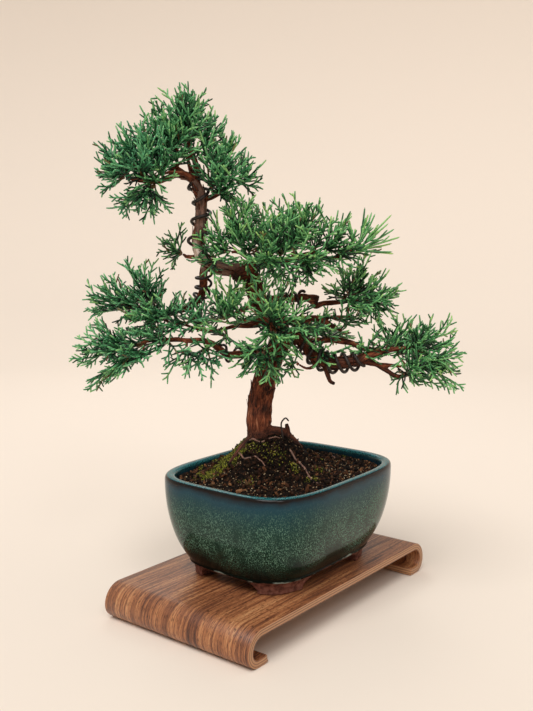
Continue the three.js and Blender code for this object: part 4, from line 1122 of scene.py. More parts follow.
spots = points_on_soil(CRUMB_COUNT)
turns = random_turns(rng, CRUMB_COUNT)
sizes = np.clip(rng.lognormal(-0.1, 0.55, CRUMB_COUNT), *CRUMB_SIZES)
kinds = rng.choice(3, CRUMB_COUNT, p=CRUMB_SHARES)
sizes = np.where(kinds == 2, np.minimum(sizes, 1.0) * 0.8, sizes)  # grit is the smallest
crumb_points, crumb_faces, crumb_values = [], [], []
filled = 0
for kind, (corners, faces) in enumerate(CRUMBS):
    chosen = np.where(kinds == kind)[0]
    placed = np.einsum("nij,vj->nvi", turns[chosen], corners) * sizes[chosen, None, None]
    placed += (spots[chosen] + np.array([0, 0, 0.25]) * sizes[chosen, None])[:, None, :]
    crumb_points.append(placed.reshape(-1, 3))
    crumb_faces.append(copied_faces(faces, filled + np.arange(len(chosen)) * len(corners)))
    on_mound = np.clip((spots[chosen, 2] - SOIL["edge"]) / SOIL["mound"] * 1.4, 0, 1)
    tones = (kind + rng.uniform(0.03, 0.97, len(chosen)) * (1 - 0.55 * on_mound)) / 3
    crumb_values.append(np.repeat(tones, len(corners)))
    filled += len(chosen) * len(corners)
crumbs = new_mesh("soil_crumbs", np.concatenate(crumb_points), list(np.concatenate(crumb_faces)))
write_values(crumbs, "kind", np.concatenate(crumb_values))

crumb_finish = new_material("bark_chips_and_grit", {"Roughness": 0.85, "Specular IOR Level": 0.12})
kind_value = add_node(crumb_finish, "Attribute", {"attribute_name": "kind"}).outputs["Fac"]
crumb_tone = add_node(crumb_finish, "ValToRGB", {"stops": [
    (0.0, "0f0805"), (0.14, "371f13"), (0.25, "6b442b"), (0.32, "a5744e"), (0.34, "060403"),
    (0.5, "1a110a"), (0.6, "42301f"), (0.655, "77583a"), (0.68, "77583a"), (1.0, "f0d9b0"),
]}, {"Fac": kind_value})
crumb_place = add_node(crumb_finish, "TexCoord").outputs["Object"]
crumb_mottle = add_node(
    crumb_finish, "TexNoise", {"Scale": 900, "Detail": 3}, {"Vector": crumb_place})
mottle_tone = add_node(crumb_finish, "ValToRGB", {"stops": [(0.35, "6a6a6a"), (0.65, "ffffff")]},
                       {"Fac": crumb_mottle})
crumb_colour = add_node(
    crumb_finish, "Mix", {"data_type": "RGBA", "blend_type": "MULTIPLY", "Factor": 0.8},
    {"A": crumb_tone, "B": mottle_tone})
plug_in(crumb_finish, {"Base Color": crumb_colour})
dress(crumbs, crumb_finish, "peat")

# %% [markdown]
# ## Moss
# Soft yellow-green moss grows in patches on the mound's left flank, by the roots and here and there
# at the pot's wall. Each patch is a crowd of tiny three-sided cones, leaning outwards from its
# middle.

# %% Plant the moss
MOSS = [  # x and y in the tree's frame, radius of the patch, tufts
    (-14.8, -2.5, 10, 560), (-0.8, -20.5, 7, 70), (-23.6, -4.6, 12, 1000), (19.3, -28.3, 11, 60),
    (-20, -12, 10, 480), (-30, -16, 10, 560), (-26, 4, 10, 620), (-12, -14, 8, 80), (8, -26, 9, 50),
    (34.5, -33.9, 6, 90), (-33.4, -8.1, 13, 980), (-42.7, -17, 12, 760), (-51.7, -28.6, 11, 520),
    (20, 50, 9, 120), (45, 40, 9, 120), (60, -20, 8, 60), (50, -45, 8, 70), (-10, -55, 9, 60),
    (90.8, 62.9, 7, 170), (105.4, 50.3, 6, 140), (-18, 12, 8, 240), (-40, 20, 9, 260),
    (30, 26, 7, 170), (-60, 5, 8, 220), (60, 20, 6, 120), (8, 40, 8, 200),
]
clear_selection()
bpy.ops.mesh.primitive_cone_add(
    vertices=3, radius1=0.55, radius2=0.0, depth=1, end_fill_type="NOTHING", location=(0, 0, 0))
edit_all()
bpy.ops.transform.translate(value=(0, 0, 0.5))
bpy.ops.mesh.fill_holes(sides=3)
face_outwards()
tuft_corners, tuft_faces = take_shape(bpy.context.object)

moss_points, moss_tones = [], []
for cx, cy, patch, count in MOSS:
    middle_spot = tree_point(cx, cy, 0)
    angle = rng.uniform(0, 2 * math.pi, count)
    away = patch * np.sqrt(rng.uniform(0, 1, count)) * (1 + 0.25 * np.sin(3 * angle + cx))
    roots = np.stack([
        middle_spot[0] + away * np.cos(angle), middle_spot[1] + away * np.sin(angle),
        np.zeros(count)], 1)
    inside = inside_pot(roots[:, 0] - POT["x"], roots[:, 1] - POT["y"])
    roots, angle, away = roots[inside], angle[inside], away[inside]
    roots[:, 2] = soil_height(roots) + lumps(roots) - 0.3
    lean = np.stack([
        np.cos(angle) * away / patch * 0.6, np.sin(angle) * away / patch * 0.6, np.ones(len(angle)),
    ], 1) + rng.normal(0, 0.25, (len(angle), 3))
    lean /= np.linalg.norm(lean, axis=1, keepdims=True)
    tall = rng.uniform(1.1, 2.6, len(angle)) * (1.15 - 0.5 * away / patch)
    wide = rng.uniform(1.0, 1.9, len(angle))
    placed = (roots[:, None, :] + tuft_corners[None, :, 2:3] * (lean * tall[:, None])[:, None, :]
              + (tuft_corners * (1, 1, 0))[None] * wide[:, None, None])
    moss_points.append(placed.reshape(-1, 3))
    moss_tones.append(np.repeat(rng.uniform(0, 1, len(angle)), len(tuft_corners)))
tuft_count = sum(len(points) for points in moss_points) // len(tuft_corners)
moss_faces = copied_faces(np.array(tuft_faces), np.arange(tuft_count) * len(tuft_corners))
moss = new_mesh("moss", np.concatenate(moss_points), list(moss_faces))
write_values(moss, "tone", np.concatenate(moss_tones))
moss_finish = new_material("cushion_moss", {"Roughness": 0.9, "Specular IOR Level": 0.2})
moss_value = add_node(moss_finish, "Attribute", {"attribute_name": "tone"}).outputs["Fac"]
moss_tone = add_node(moss_finish, "ValToRGB", {"stops": [
    (0.0, "14180a"), (0.35, "373a11"), (0.65, "64681b"), (0.85, "868626"), (1.0, "b6ac46"),
]}, {"Fac": moss_value})
plug_in(moss_finish, {"Base Color": moss_tone})
dress(moss, moss_finish, "leaf")
print("moss tufts:", tuft_count)

# %% [markdown]
# ## Bark
# Old juniper bark is reddish brown and comes away in long thin strips, so every mark on it runs
# along the limb. The pattern is drawn on coordinates that follow the limbs: two across, from the
# limb's own middle, and one along it. On the leader the bark is gone in places and the dead wood is
# bleached pale, and cut stubs are nearly black.

# %% Bark material
bark = new_material("shedding_juniper_bark", {"Specular IOR Level": 0.3})
grain = add_node(bark, "Attribute", {"attribute_name": "grain"}).outputs["Vector"]
# Strips are 1.5 to 4 mm wide and 10 to 20 mm long.
strip_place = add_node(bark, "Mapping", {"Scale": (1, 1, 0.2)}, {"Vector": grain})
strips = add_node(
    bark, "TexNoise", {"Scale": 420, "Detail": 5, "Roughness": 0.72, "Distortion": 0.6},
    {"Vector": strip_place})
patches = add_node(bark, "TexNoise", {"Scale": 90, "Detail": 3}, {"Vector": grain})
strip_tone = add_node(bark, "ValToRGB", {"stops": [
    (0.33, "1f0e07"), (0.42, "4a2516"), (0.5, "713820"), (0.58, "935033"), (0.7, "bd8260"),
]}, {"Fac": strips})
patch_tone = add_node(
    bark, "ValToRGB", {"stops": [(0.36, "8a7d76"), (0.55, "ffffff")]}, {"Fac": patches})
bark_mixed = add_node(
    bark, "Mix", {"data_type": "RGBA", "blend_type": "MULTIPLY", "Factor": 0.7},
    {"A": strip_tone, "B": patch_tone})
dark_and_shade_value = add_node(bark, "Attribute", {"attribute_name": "dark"}).outputs["Fac"]
# The dark value holds the bark's own dark places and painted shade under every limb.
bark_dark = add_node(
    bark, "Mix", {"data_type": "RGBA", "B": colour("1a0f0b")},
    {"Factor": dark_and_shade_value, "A": bark_mixed})
bare_value = add_node(bark, "Attribute", {"attribute_name": "bare_wood"}).outputs["Fac"]
bare_tone = add_node(bark, "ValToRGB", {"stops": [
    (0.35, "8d7568"), (0.5, "cbb2a2"), (0.65, "e8d8ca"),
]}, {"Fac": strips})
bark_colour = add_node(
    bark, "Mix", {"data_type": "RGBA"}, {"Factor": bare_value, "A": bark_dark, "B": bare_tone})
bark_rough = add_node(bark, "MapRange", {"To Min": 0.95, "To Max": 0.7}, {"Value": strips})
bark_bump = add_node(bark, "Bump", {"Strength": 0.8, "Distance": 0.0008}, {"Height": strips})
plug_in(bark, {"Base Color": bark_colour, "Roughness": bark_rough, "Normal": bark_bump})

# %% [markdown]
# ## The tree
# Branches swell where they leave the trunk. Rods alone would only cross there, so they are made
# overlapping and then skinned as one by a voxel remesh, which is like wrapping them in clay of even
# grain. A little smoothing fills the crotches, and the strips of bark are pushed in and out of the
# skin along each limb.

# %% Model the trunk, roots and branches
VOXEL = 1.05  # mm
NEAR_SAMPLES = 12  # looked at for each point of the skin
GRAIN_SHIFT = 53  # mm, so that no two limbs have the same pattern
rods = []
for name, limb in limbs.items():
    every = 2 if limb["length"] < 60 else 1
    rods.append((limb["middle"][::every], limb["radius"][::every]))
tree = make_rods("juniper_tree", rods, 3)
apply_modifier(tree, "REMESH", mode="VOXEL", voxel_size=VOXEL * MM)
apply_modifier(tree, "SMOOTH", factor=0.5, iterations=3)

limb_names = list(limbs)
sample_count = SAMPLES + 1
sample_tree = kdtree.KDTree(len(limb_names) * sample_count)
for number, name in enumerate(limb_names):
    for step, middle in enumerate(limbs[name]["middle"]):
        sample_tree.insert(Vector(middle), number * sample_count + step)
sample_tree.balance()


def limb_place(point):
    """The limb that a point of the skin belongs to, and the sample of it that is nearest."""
    best = None
    for _, index, distance in sample_tree.find_n(Vector(point), NEAR_SAMPLES):
        number, step = divmod(index, sample_count)
        # A thick limb owns the skin round it, so its samples count as nearer.
        past_skin = distance - limbs[limb_names[number]]["radius"][step]
        if best is None or past_skin < best[0]:
            best = (past_skin, number, step)
    return best[1], best[2]


def dress_in_bark(piece, grain_values, dark, bare_wood, *nodes):
    """Stores what the bark's pattern reads, and gives the piece its bark."""
    count = len(grain_values)
    write_values(piece, "grain", grain_values * MM)
    write_values(piece, "dark", np.broadcast_to(dark, count))
    write_values(piece, "bare_wood", np.broadcast_to(bare_wood, count))
    dress(piece, bark, "bark", *nodes)


def grain_of(points, places):
    """Coordinates that follow the limbs: two across from the middle, and one along."""
    values = np.empty((len(points), 3))
    for i, (point, (number, step)) in enumerate(zip(points, places)):
        limb = limbs[limb_names[number]]
        offset = point - limb["middle"][step]
        along = step / SAMPLES * limb["length"] + offset @ limb["ahead"][step]
        along += number * GRAIN_SHIFT
        values[i] = offset @ limb["side"][step], offset @ limb["over"][step], along
    return values


tree_points = points_of(tree)
places = [limb_place(point) for point in tree_points]
tree_grain = grain_of(tree_points, places)
relief = np.empty(len(tree_points))
for i, (across, over, along) in enumerate(tree_grain):
    radius = limbs[limb_names[places[i][0]]]["radius"][places[i][1]]
    strong = min(1.0, radius / 9)
    wide_strips = noise.noise(Vector((across / 4.2, over / 4.2, along / 26)))
    fine_strips = noise.noise(Vector((across / 1.9, over / 1.9, along / 13)) + Vector((7, 0, 0)))
    burls = noise.noise(Vector((across / 9, over / 9, along / 15)) + Vector((0, 5, 0)))
    relief[i] = strong * (1.1 * abs(wide_strips) * 2 - 0.5 + 0.7 * fine_strips + 1.3 * burls)
normals = np.empty(len(tree.data.vertices) * 3, np.float32)
tree.data.vertices.foreach_get("normal", normals)
move_points(tree, tree_points + normals.reshape(-1, 3) * relief[:, None])
pick(tree)
bpy.ops.object.shade_smooth()

# %% [markdown]
# Two values on the skin drive the finish. Stub ends, the foot of the trunk and the thick right branch
# are dark, and a strip of the leader has lost its bark. Every limb is also darkened where it faces
# down: that is painted shade.

# %% Dark and bare places
STUB_ENDS = [
    ([59, 21, 138], 5), ([-84, 0, 265], 5), ([-22, -6, 161], 6), ([73, -15, 59], 5),
    ([27, 0, 17], 4)]
SCARS = [([8, -12, 62], 3.5), ([8, -12, 54], 3.5), ([6, -12, 34], 3.5), ([12, -14, 38], 3)]
BARE = [([-58, -11, 176], 10), ([-57, -11, 166], 8), ([-61, -10, 186], 7), ([-63, -8, 194], 4)]
dark_and_shade_tone = np.zeros(len(tree_points))
bare_tone_values = np.zeros(len(tree_points))
for spot, reach in STUB_ENDS + SCARS:
    away = np.linalg.norm(tree_points - tree_point(*spot), axis=1)
    dark_and_shade_tone = np.maximum(dark_and_shade_tone, np.clip(1.6 - away / reach, 0, 1) * 0.85)
for spot, reach in BARE:
    away = np.linalg.norm(tree_points - tree_point(*spot), axis=1)
    bare_tone_values = np.maximum(bare_tone_values, np.clip((1.3 - away / reach) * 2.5, 0, 1))
above_soil = tree_points[:, 2] - soil_height(tree_points)
dark_and_shade_tone = np.maximum(dark_and_shade_tone, 0.75 * np.clip(1 - above_soil / 16, 0, 1))
# Painted shade: every limb is darkened where it faces down, the thick right branch on top of its own
# dark tone.
facing_down = np.clip(-normals.reshape(-1, 3)[:, 2], 0, 1)
RIGHT_LIMBS = ("right_main", "right_under", "stub")
on_right = np.array([limb_names[number] in RIGHT_LIMBS and step < 0.7 * SAMPLES
                     for number, step in places])
dark_and_shade_tone = np.maximum(dark_and_shade_tone, np.where(on_right, 0.55 + 0.3 * facing_down, 0.3 * facing_down))
on_leader = np.array([limb_names[number] == "leader" for number, _ in places])
dark_and_shade_tone = np.maximum(dark_and_shade_tone, np.where(on_leader, 0.35, 0))
bare_tone_values = np.maximum(bare_tone_values, np.where(on_leader, 0.17, 0))  # weathered grey
dress_in_bark(tree, tree_grain, dark_and_shade_tone, bare_tone_values, "tree")

# %% [markdown]
# Loose strips stand off the bark, which gives the trunk its ragged outline. Each is a thin bar of
# four cross-sections that runs up the limb, sunk in at its foot and lifted at its top. A few roots
# as thin as string run over the soil.

# %% Loose bark and surface roots
# Strips on each limb, and the shares of its length that they start between.
FLAKES = {"trunk": (190, 0.3, 0.98), "leader": (60, 0.05, 0.9), "right_main": (50, 0.05, 0.7)}
FLAKE_WIDTHS = (1.0, 1.1, 0.9, 0.4)  # at its four cross-sections, as shares of its width
FLAKE_DEPTH = 0.5  # mm
STEPS_UP = len(FLAKE_WIDTHS) - 1
FLAKE_CORNERS = 4 * len(FLAKE_WIDTHS)
rng = np.random.default_rng(31)
flake_points, flake_faces, flake_grain = [], [], []
for name, (count, low_end, high_end) in FLAKES.items():
    limb = limbs[name]
    for _ in range(count):
        foot = rng.uniform(low_end, high_end) * SAMPLES
        angle = rng.uniform(0, 2 * math.pi)
        long, wide, lift = rng.uniform(5, 13), rng.uniform(0.9, 2.2), rng.uniform(0.8, 2.6)
        first = len(flake_points) * FLAKE_CORNERS
        last = first + 4 * STEPS_UP
        corners = []
        for k, width_here in enumerate(FLAKE_WIDTHS):
            up = k / STEPS_UP
            step = int(np.clip(foot + up * long / limb["length"] * SAMPLES, 0, SAMPLES))
            out = limb["side"][step] * math.cos(angle) + limb["over"][step] * math.sin(angle)
            across = limb["over"][step] * math.cos(angle) - limb["side"][step] * math.sin(angle)
            stand_off = limb["radius"][step] + 0.1 + lift * up ** 1.5
            outer = limb["middle"][step] + out * stand_off
            half, deep = across * wide / 2 * width_here, out * FLAKE_DEPTH
            corners += [outer - half, outer + half, outer + half - deep, outer - half - deep]
            angle += rng.normal(0, 0.05)
        flake_points.append(np.array(corners))
        flake_grain.append(np.array(corners) * (1, 1, 0.5))
        for ring in range(first, last, 4):
            for side in range(4):
                low, next_low = ring + side, ring + (side + 1) % 4
                flake_faces.append([low, next_low, next_low + 4, low + 4])
        flake_faces.append([first + 3, first + 2, first + 1, first])
        flake_faces.append([last, last + 1, last + 2, last + 3])
flakes = new_mesh("loose_bark", np.concatenate(flake_points), flake_faces)
flake_dark = np.repeat(rng.uniform(0, 0.6, len(flake_points)), FLAKE_CORNERS)
dress_in_bark(flakes, np.concatenate(flake_grain), flake_dark, 0)

SURFACE_ROOTS = [  # x and y in the tree's frame
    [(-8.8, -9.5), (3, -17.5), (12.7, -12.1), (20.5, -10.1)],
    [(30, -21), (34, -24), (41.5, -27.2), (47, -38), (50.9, -51), (55.1, -57.7)],
    [(74.3, 55.9), (80, 44), (87.9, 30.3)],
    [(-20, -14), (-14, -24), (-2, -30), (6, -38)],
]
surface_rods = []
for route in SURFACE_ROOTS:
    spots = [tree_point(x, y, 0) for x, y in route]
    middle = even_curve(lambda t: spline_point(spots, t), 24)["middle"]
    middle[:, 2] = soil_height(middle) + lumps(middle) + 0.8
    surface_rods.append((middle, np.linspace(1.0, 0.5, 25)))
surface_roots = make_rods("surface_roots", surface_rods, 2)
bpy.ops.object.shade_smooth()
dress_in_bark(surface_roots, points_of(surface_roots), 0.25, 0.2)

# %% [markdown]
# ## The training wires
# Brown anodised aluminium wire, wound by hand: it is matt, soft and has no sharp glints. Each wire
# keeps the same small distance from the bark that its solid keeps, so the finer piece lies exactly
# where the solid lies. A fine mottling dulls it.

# %% Model the wires
WIRES = {  # limb, its shares where the wire begins and ends, turns, first turn, radius, slack
    "leader_wire": ("leader", 0.36, 0.86, 4, 0.2, 1.6, 1.5),
    "left_wire": ("left_wired", 0.08, 0.5, 4, 0.3, 1.3, 2.2),
    "left_low_wire": ("left_low", 0.2, 0.42, 1.6, 0.2, 1.3, 1.2),
    "right_wire_a": ("right_main", 0.17, 0.68, 3.5, 0.4, 1.6, 1.6),
    "right_wire_b": ("right_main", 0.17, 0.68, 3.5, 0.9, 1.6, 1.6),
    "upper_right_wire": ("right_upper", 0.22, 0.4, 2, 0.6, 1.5, 0.8),
}
ANCHOR_ROUTE = [[24, -8, -4], [23, -9, 6], [22, -9, 13], [22, -9, 20], [26, -8, 24], [29, -8, 21]]
ANCHOR_RADIUS = 0.8
TURN_STEPS = 28
wire_finish = new_material(
    "brown_anodised_aluminium_wire", {"Metallic": 0.3, "Specular IOR Level": 0.35})
wire_place = add_node(wire_finish, "TexCoord").outputs["Object"]
wire_mottle = add_node(wire_finish, "TexNoise", {"Scale": 500, "Detail": 3}, {"Vector": wire_place})
wire_tone = add_node(
    wire_finish, "ValToRGB", {"stops": [(0.35, "1b1614"), (0.65, "3d3430")]}, {"Fac": wire_mottle})
wire_rough = add_node(
    wire_finish, "MapRange", {"To Min": 0.38, "To Max": 0.6}, {"Value": wire_mottle})
plug_in(wire_finish, {"Base Color": wire_tone, "Roughness": wire_rough})


def winding(limb_name, begin, end, turns, first_turn, radius, slack):
    """Points of a wire wound round a limb, held off by the slack so that it nowhere cuts in."""
    limb = limbs[limb_name]
    points = []
    for t in np.linspace(0, 1, int(turns * TURN_STEPS) + 1):
        position = (begin + (end - begin) * t) * SAMPLES
        low = min(int(position), SAMPLES - 1)
        part = position - low
        angle = 2 * math.pi * (first_turn + turns * t)
        here = {key: limb[key][low] * (1 - part) + limb[key][low + 1] * part
                for key in ("radius", "middle", "side", "over")}
        reach = here["radius"] + radius + slack
        points.append(here["middle"] + here["side"] * math.cos(angle) * reach
                      + here["over"] * math.sin(angle) * reach)
    return np.array(points)


def wire_ends(radius, count):
    """Radii along a wire, a little smaller at both ends, as cutters leave them."""
    radii = np.full(count, radius)
    radii[[0, -1]] = radius * 0.7
    return radii


def length_along(points):
    return round(float(np.linalg.norm(np.diff(points, axis=0), axis=1).sum()), 1)


def make_wire(name, node, points, radius):
    print(node, "is this long, mm:", length_along(points))
    wire = make_rods(name, [(points, wire_ends(radius, len(points)))], 3)
    bpy.ops.object.shade_smooth_by_angle(angle=math.radians(50))
    dress(wire, wire_finish, "wire", node)


for node, wire in WIRES.items():
    radius = wire[5]
    make_wire("wound_" + node, node, winding(*wire), radius)
anchor_points = [tree_point(*point) for point in ANCHOR_ROUTE]
anchor_curve = even_curve(lambda t: spline_point(anchor_points, t), 40)
make_wire("curled_anchor_wire", "anchor_wire", anchor_curve["middle"], ANCHOR_RADIUS)

# %% [markdown]
# ## Where the shoots grow
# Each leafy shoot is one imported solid: a few sprays that part at the end of a brown twig. The list
# gives the point where the green starts and then the tip of each spray. The dense foliage that
# covers the real tree is grown on those same sprays, so it reaches just as far.

# %% Sprays of each shoot
SHOOTS = {
    "crown_left_tip": [
        [-124, -7, 254], [-156, -12, 274], [-157, -2, 260], [-152, -6, 291], [-153, -14, 237]],
    "crown_left_top": [[-112, -7, 256], [-142, -2, 299], [-125, -10, 303], [-113, -4, 312]],
    "crown_left_fan": [
        [-104, -8, 247], [-137, -10, 221], [-117, -14, 224], [-102, -8, 213], [-86, -4, 228]],
    "crown_left_front": [[-103, -16, 254], [-126, -44, 269], [-105, -42, 277], [-98, -22, 298]],
    "crown_left_back": [[-102, 8, 259], [-139, 36, 284], [-112, 40, 296], [-103, 8, 319]],
    "peak": [[-69, 6, 296], [-59, 4, 340], [-71, 8, 341], [-85, 0, 338]],
    "peak_left": [
        [-80, -3, 282], [-102, 2, 328], [-90, -20, 318], [-78, -38, 307], [-60, -34, 304]],
    "peak_right": [[-60, 6, 281], [-44, 8, 322], [-33, 4, 307]],
    "peak_back": [[-71, 24, 283], [-78, 40, 325], [-59, 44, 310]],
    "crown_right_top": [[-43, 4, 253], [-22, 4, 291], [-29, 10, 300]],
    "crown_right_tip": [[-24, 5, 249], [3, 4, 267], [-9, 8, 282], [3, 2, 244]],
    "crown_right_low": [
        [-38, -2, 240], [-24, -38, 261], [-41, -30, 262], [-12, 8, 225], [-25, -4, 221]],
    "crown_right_back": [[-40, 16, 250], [-23, 44, 275], [-47, 40, 285]],
    "middle_left": [[-74, 16, 182], [-98, 20, 192], [-82, 18, 206], [-87, 14, 171]],
    "middle_front_left": [[-25, -28, 185], [-47, -36, 198], [-41, -26, 218], [-33, -48, 176]],
    "middle_top_left": [[-16, -20, 187], [-25, -14, 232], [-12, -10, 237]],
    "middle_top": [[8, 0, 180], [3, 2, 231], [16, 6, 230], [3, -6, 152], [18, -4, 152]],
    "middle_top_right": [[32, 1, 185], [28, 0, 238], [41, 6, 236], [59, 2, 231]],
    "middle_right": [[63, -2, 184], [70, -2, 223], [85, 0, 214], [89, -6, 196]],
    "middle_front_mid": [[7, -20, 176], [-13, -54, 180], [9, -56, 187], [29, -50, 182]],
    "middle_front_right": [
        [39, -7, 176], [38, -44, 187], [58, -36, 185], [51, -2, 158], [68, -6, 165]],
    "middle_back_top": [[8, 56, 188], [-24, 64, 210], [3, 60, 220], [42, 66, 210], [38, 84, 190]],
    "right_whips": [
        [90, -4, 186], [86, -4, 214], [108, -2, 224], [127, -4, 217], [133, 0, 198],
        [133, -4, 184]],
    "left_upper_tip": [[-115, 20, 128], [-170, 24, 125], [-173, 18, 145], [-150, 24, 162]],
    "left_upper_top": [[-104, 21, 131], [-133, 18, 175], [-110, 20, 171], [-95, 26, 153]],
    "left_upper_inner": [
        [-88, 13, 123], [-80, 22, 144], [-70, 14, 140], [-97, 6, 117], [-121, -24, 123],
        [-100, -28, 126]],
    "left_upper_back": [[-108, 32, 125], [-146, 60, 135], [-114, 66, 138]],
    "left_low_tip": [[-117, -17, 97], [-180, -20, 101], [-161, -14, 119], [-183, -14, 74]],
    "left_low_front": [
        [-109, -22, 93], [-165, -22, 54], [-143, -26, 64], [-130, -54, 95], [-110, -58, 86]],
    "left_low_inner": [[-69, -18, 95], [-87, -23, 68], [-43, -26, 72]],
    "left_low_back": [[-94, 0, 104], [-131, 24, 103], [-104, 30, 110]],
    "left_centre": [[-54, -10, 114], [-66, -12, 138], [-50, -8, 139], [-77, -20, 108]],
    "bright_shoots": [[-31, -21, 120], [-43, -22, 152], [-27, -18, 159], [-12, -13, 154]],
    "centre_top": [[11, -34, 119], [-1, -34, 154], [24, -28, 155], [39, -32, 126]],
    "centre_front": [[12, -35, 112], [0, -66, 109], [23, -62, 105], [37, -40, 108]],
    "centre_low": [[3, -22, 91], [-18, -34, 66], [-23, -30, 82], [13, -38, 68]],
    "right_upper_top": [
        [91, 31, 139], [71, 30, 147], [87, 32, 172], [106, 30, 179], [119, 32, 164]],
    "right_upper_tip": [[108, 30, 136], [139, 30, 145], [137, 26, 123], [112, 22, 111]],
    "right_upper_front": [[88, 16, 133], [87, -16, 128], [112, -12, 134]],
    "right_upper_back": [[94, 44, 134], [101, 74, 144], [128, 66, 138]],
    "end_left": [[130, 14, 89], [118, 2, 117], [140, -4, 120], [167, 34, 96], [178, 26, 81]],
    "end_top": [[144, -22, 96], [151, -18, 119], [167, -14, 120], [182, -20, 112]],
    "end_tip": [[140, -22, 78], [189, -24, 93], [197, -24, 58], [179, -20, 77]],
    "end_front": [[139, -30, 72], [151, -56, 95], [139, -56, 78], [169, -24, 62], [130, -26, 58]],
    "back_low": [[33, 76, 108], [59, 100, 91], [76, 92, 104], [100, 96, 89]],
    "back_left_low": [[-35, 58, 116], [-66, 84, 109], [-42, 90, 126]],
    "inner_sprig": [[36, -16, 79], [28, -18, 89], [31, -20, 68]],
}
KNOT = 2.2
UP = np.array([0.0, 0.0, 1.0])


def unit(vector):
    return vector / max(np.linalg.norm(vector), 1e-9)


def twig_of(base):
    """The brown twig that joins a shoot to the limb nearest to it."""
    best = None
    for limb in limbs.values():
        samples = limb["middle"][::5]
        distances = np.linalg.norm(samples - base, axis=1)
        nearest = int(distances.argmin())
        if best is None or distances[nearest] < best[0]:
            best = (distances[nearest], samples[nearest])
    distance, start = best
    bend = (start + base) / 2 + UP * 0.06 * distance
    return [start, bend, base]


def grow_twigs(piece_name, shoots, thick, thin, knot):
    """A brown twig for each shoot, as one piece, and the points where the green starts."""
    rods, bases = [], {}
    for name, sprays in shoots.items():
        base = tree_point(*sprays[0])
        route = twig_of(base)
        twig = even_curve(lambda t: spline_point(route, t), 12)
        rods.append((twig["middle"], np.linspace(thick, thin, 13)))
        bases[name] = base + twig["ahead"][-1] * knot
    twigs = make_rods(piece_name, rods, 2)
    bpy.ops.object.shade_smooth()
    dress_in_bark(twigs, points_of(twigs) * (1, 1, 0.3), 0, 0)
    print(piece_name, "has this many twigs:", len(rods))
    return bases


shoot_bases = grow_twigs("brown_twigs", SHOOTS, 1.7, 1.2, GAP + KNOT)

# %% [markdown]
# ## One whip
# Juniper foliage has no flat leaves: tiny scales clasp a thin green cord. At this size the scales
# show as a fine mottling. One cord is modelled from a five-sided ring, extruded upwards. It swells
# a little, narrows and closes in a blunt tip, and every cord on the tree is a copy of it.

# %% Model one whip
RINGS = [(0.0, 0.92), (0.3, 1.0), (0.65, 0.96), (0.93, 0.8)]
clear_selection()
bpy.ops.mesh.primitive_circle_add(vertices=5, radius=RINGS[0][1], location=(0, 0, 0))
bpy.ops.object.mode_set(mode="EDIT")
bpy.ops.mesh.select_mode(type="EDGE")
bpy.ops.mesh.select_all(action="SELECT")
for (z0, r0), (z1, r1) in zip(RINGS, RINGS[1:]):
    bpy.ops.mesh.extrude_edges_move(TRANSFORM_OT_translate={"value": (0, 0, z1 - z0)})
    bpy.ops.transform.resize(value=(r1 / r0, r1 / r0, 1), center_override=(0, 0, z1))
bpy.ops.mesh.extrude_edges_move(TRANSFORM_OT_translate={"value": (0, 0, 1 - RINGS[-1][0])})
bpy.ops.mesh.merge(type="CENTER")
face_outwards()
whip_corners, whip_faces = take_shape(bpy.context.object)
whip_quads = np.array([face for face in whip_faces if len(face) == 4])
whip_tips = np.array([face for face in whip_faces if len(face) == 3])
print("one whip:", len(whip_corners), "corners,", 2 * len(whip_quads) + len(whip_tips), "triangles")

# %% [markdown]
# ## A spray
# A spray branches the way the plant does: a stem carries branchlets to its left and right by turns,
# held out wide near its foot and close near its tip. Each branchlet is a cord about 1.8 mm thick
# with short whips along both sides. The branchlets of one spray lie nearly in one sheet, which
# gives a juniper pad its layers.

# %% Grow a spray
CORD = {"stem": 1.02, "branchlet": 0.88, "whip": 0.8}  # radii, mm
BRANCHLET_SPACING = 5.0  # mm
WHIP_SPACING = 4.6  # mm
LONGEST_BRANCHLET = 24.0  # mm


def lean_out(ahead, out, degrees):
    a = math.radians(degrees)
    return unit(ahead * math.cos(a) + out * math.sin(a))


def add_cord(rng, whips, foot, direction, length, radius, part):
    """Adds one bent cord to the list and returns the curve that it follows."""
    bend = (rng.normal(0, 0.05, 3) + UP * 0.07) * length
    whips.append((foot, direction, length, radius, bend, part))
    return lambda s: foot + direction * length * s + bend * s * s


def add_whips(rng, whips, cord, direction, sheet, length, part):
    """Short whips to the left and right of a branchlet by turns, shorter towards its tip."""
    count = int(length / WHIP_SPACING)
    for j in range(count):
        s = 0.22 + 0.66 * (j + rng.uniform(0.2, 0.8)) / count
        turn = sheet * (1 if j % 2 else -1) + np.cross(direction, sheet) * rng.normal(0, 0.45)
        add_cord(rng, whips, cord(s), lean_out(direction, unit(turn), rng.uniform(27, 42)),
                 (11.2 - 4.8 * s) * rng.uniform(0.6, 1.2), CORD["whip"], part)


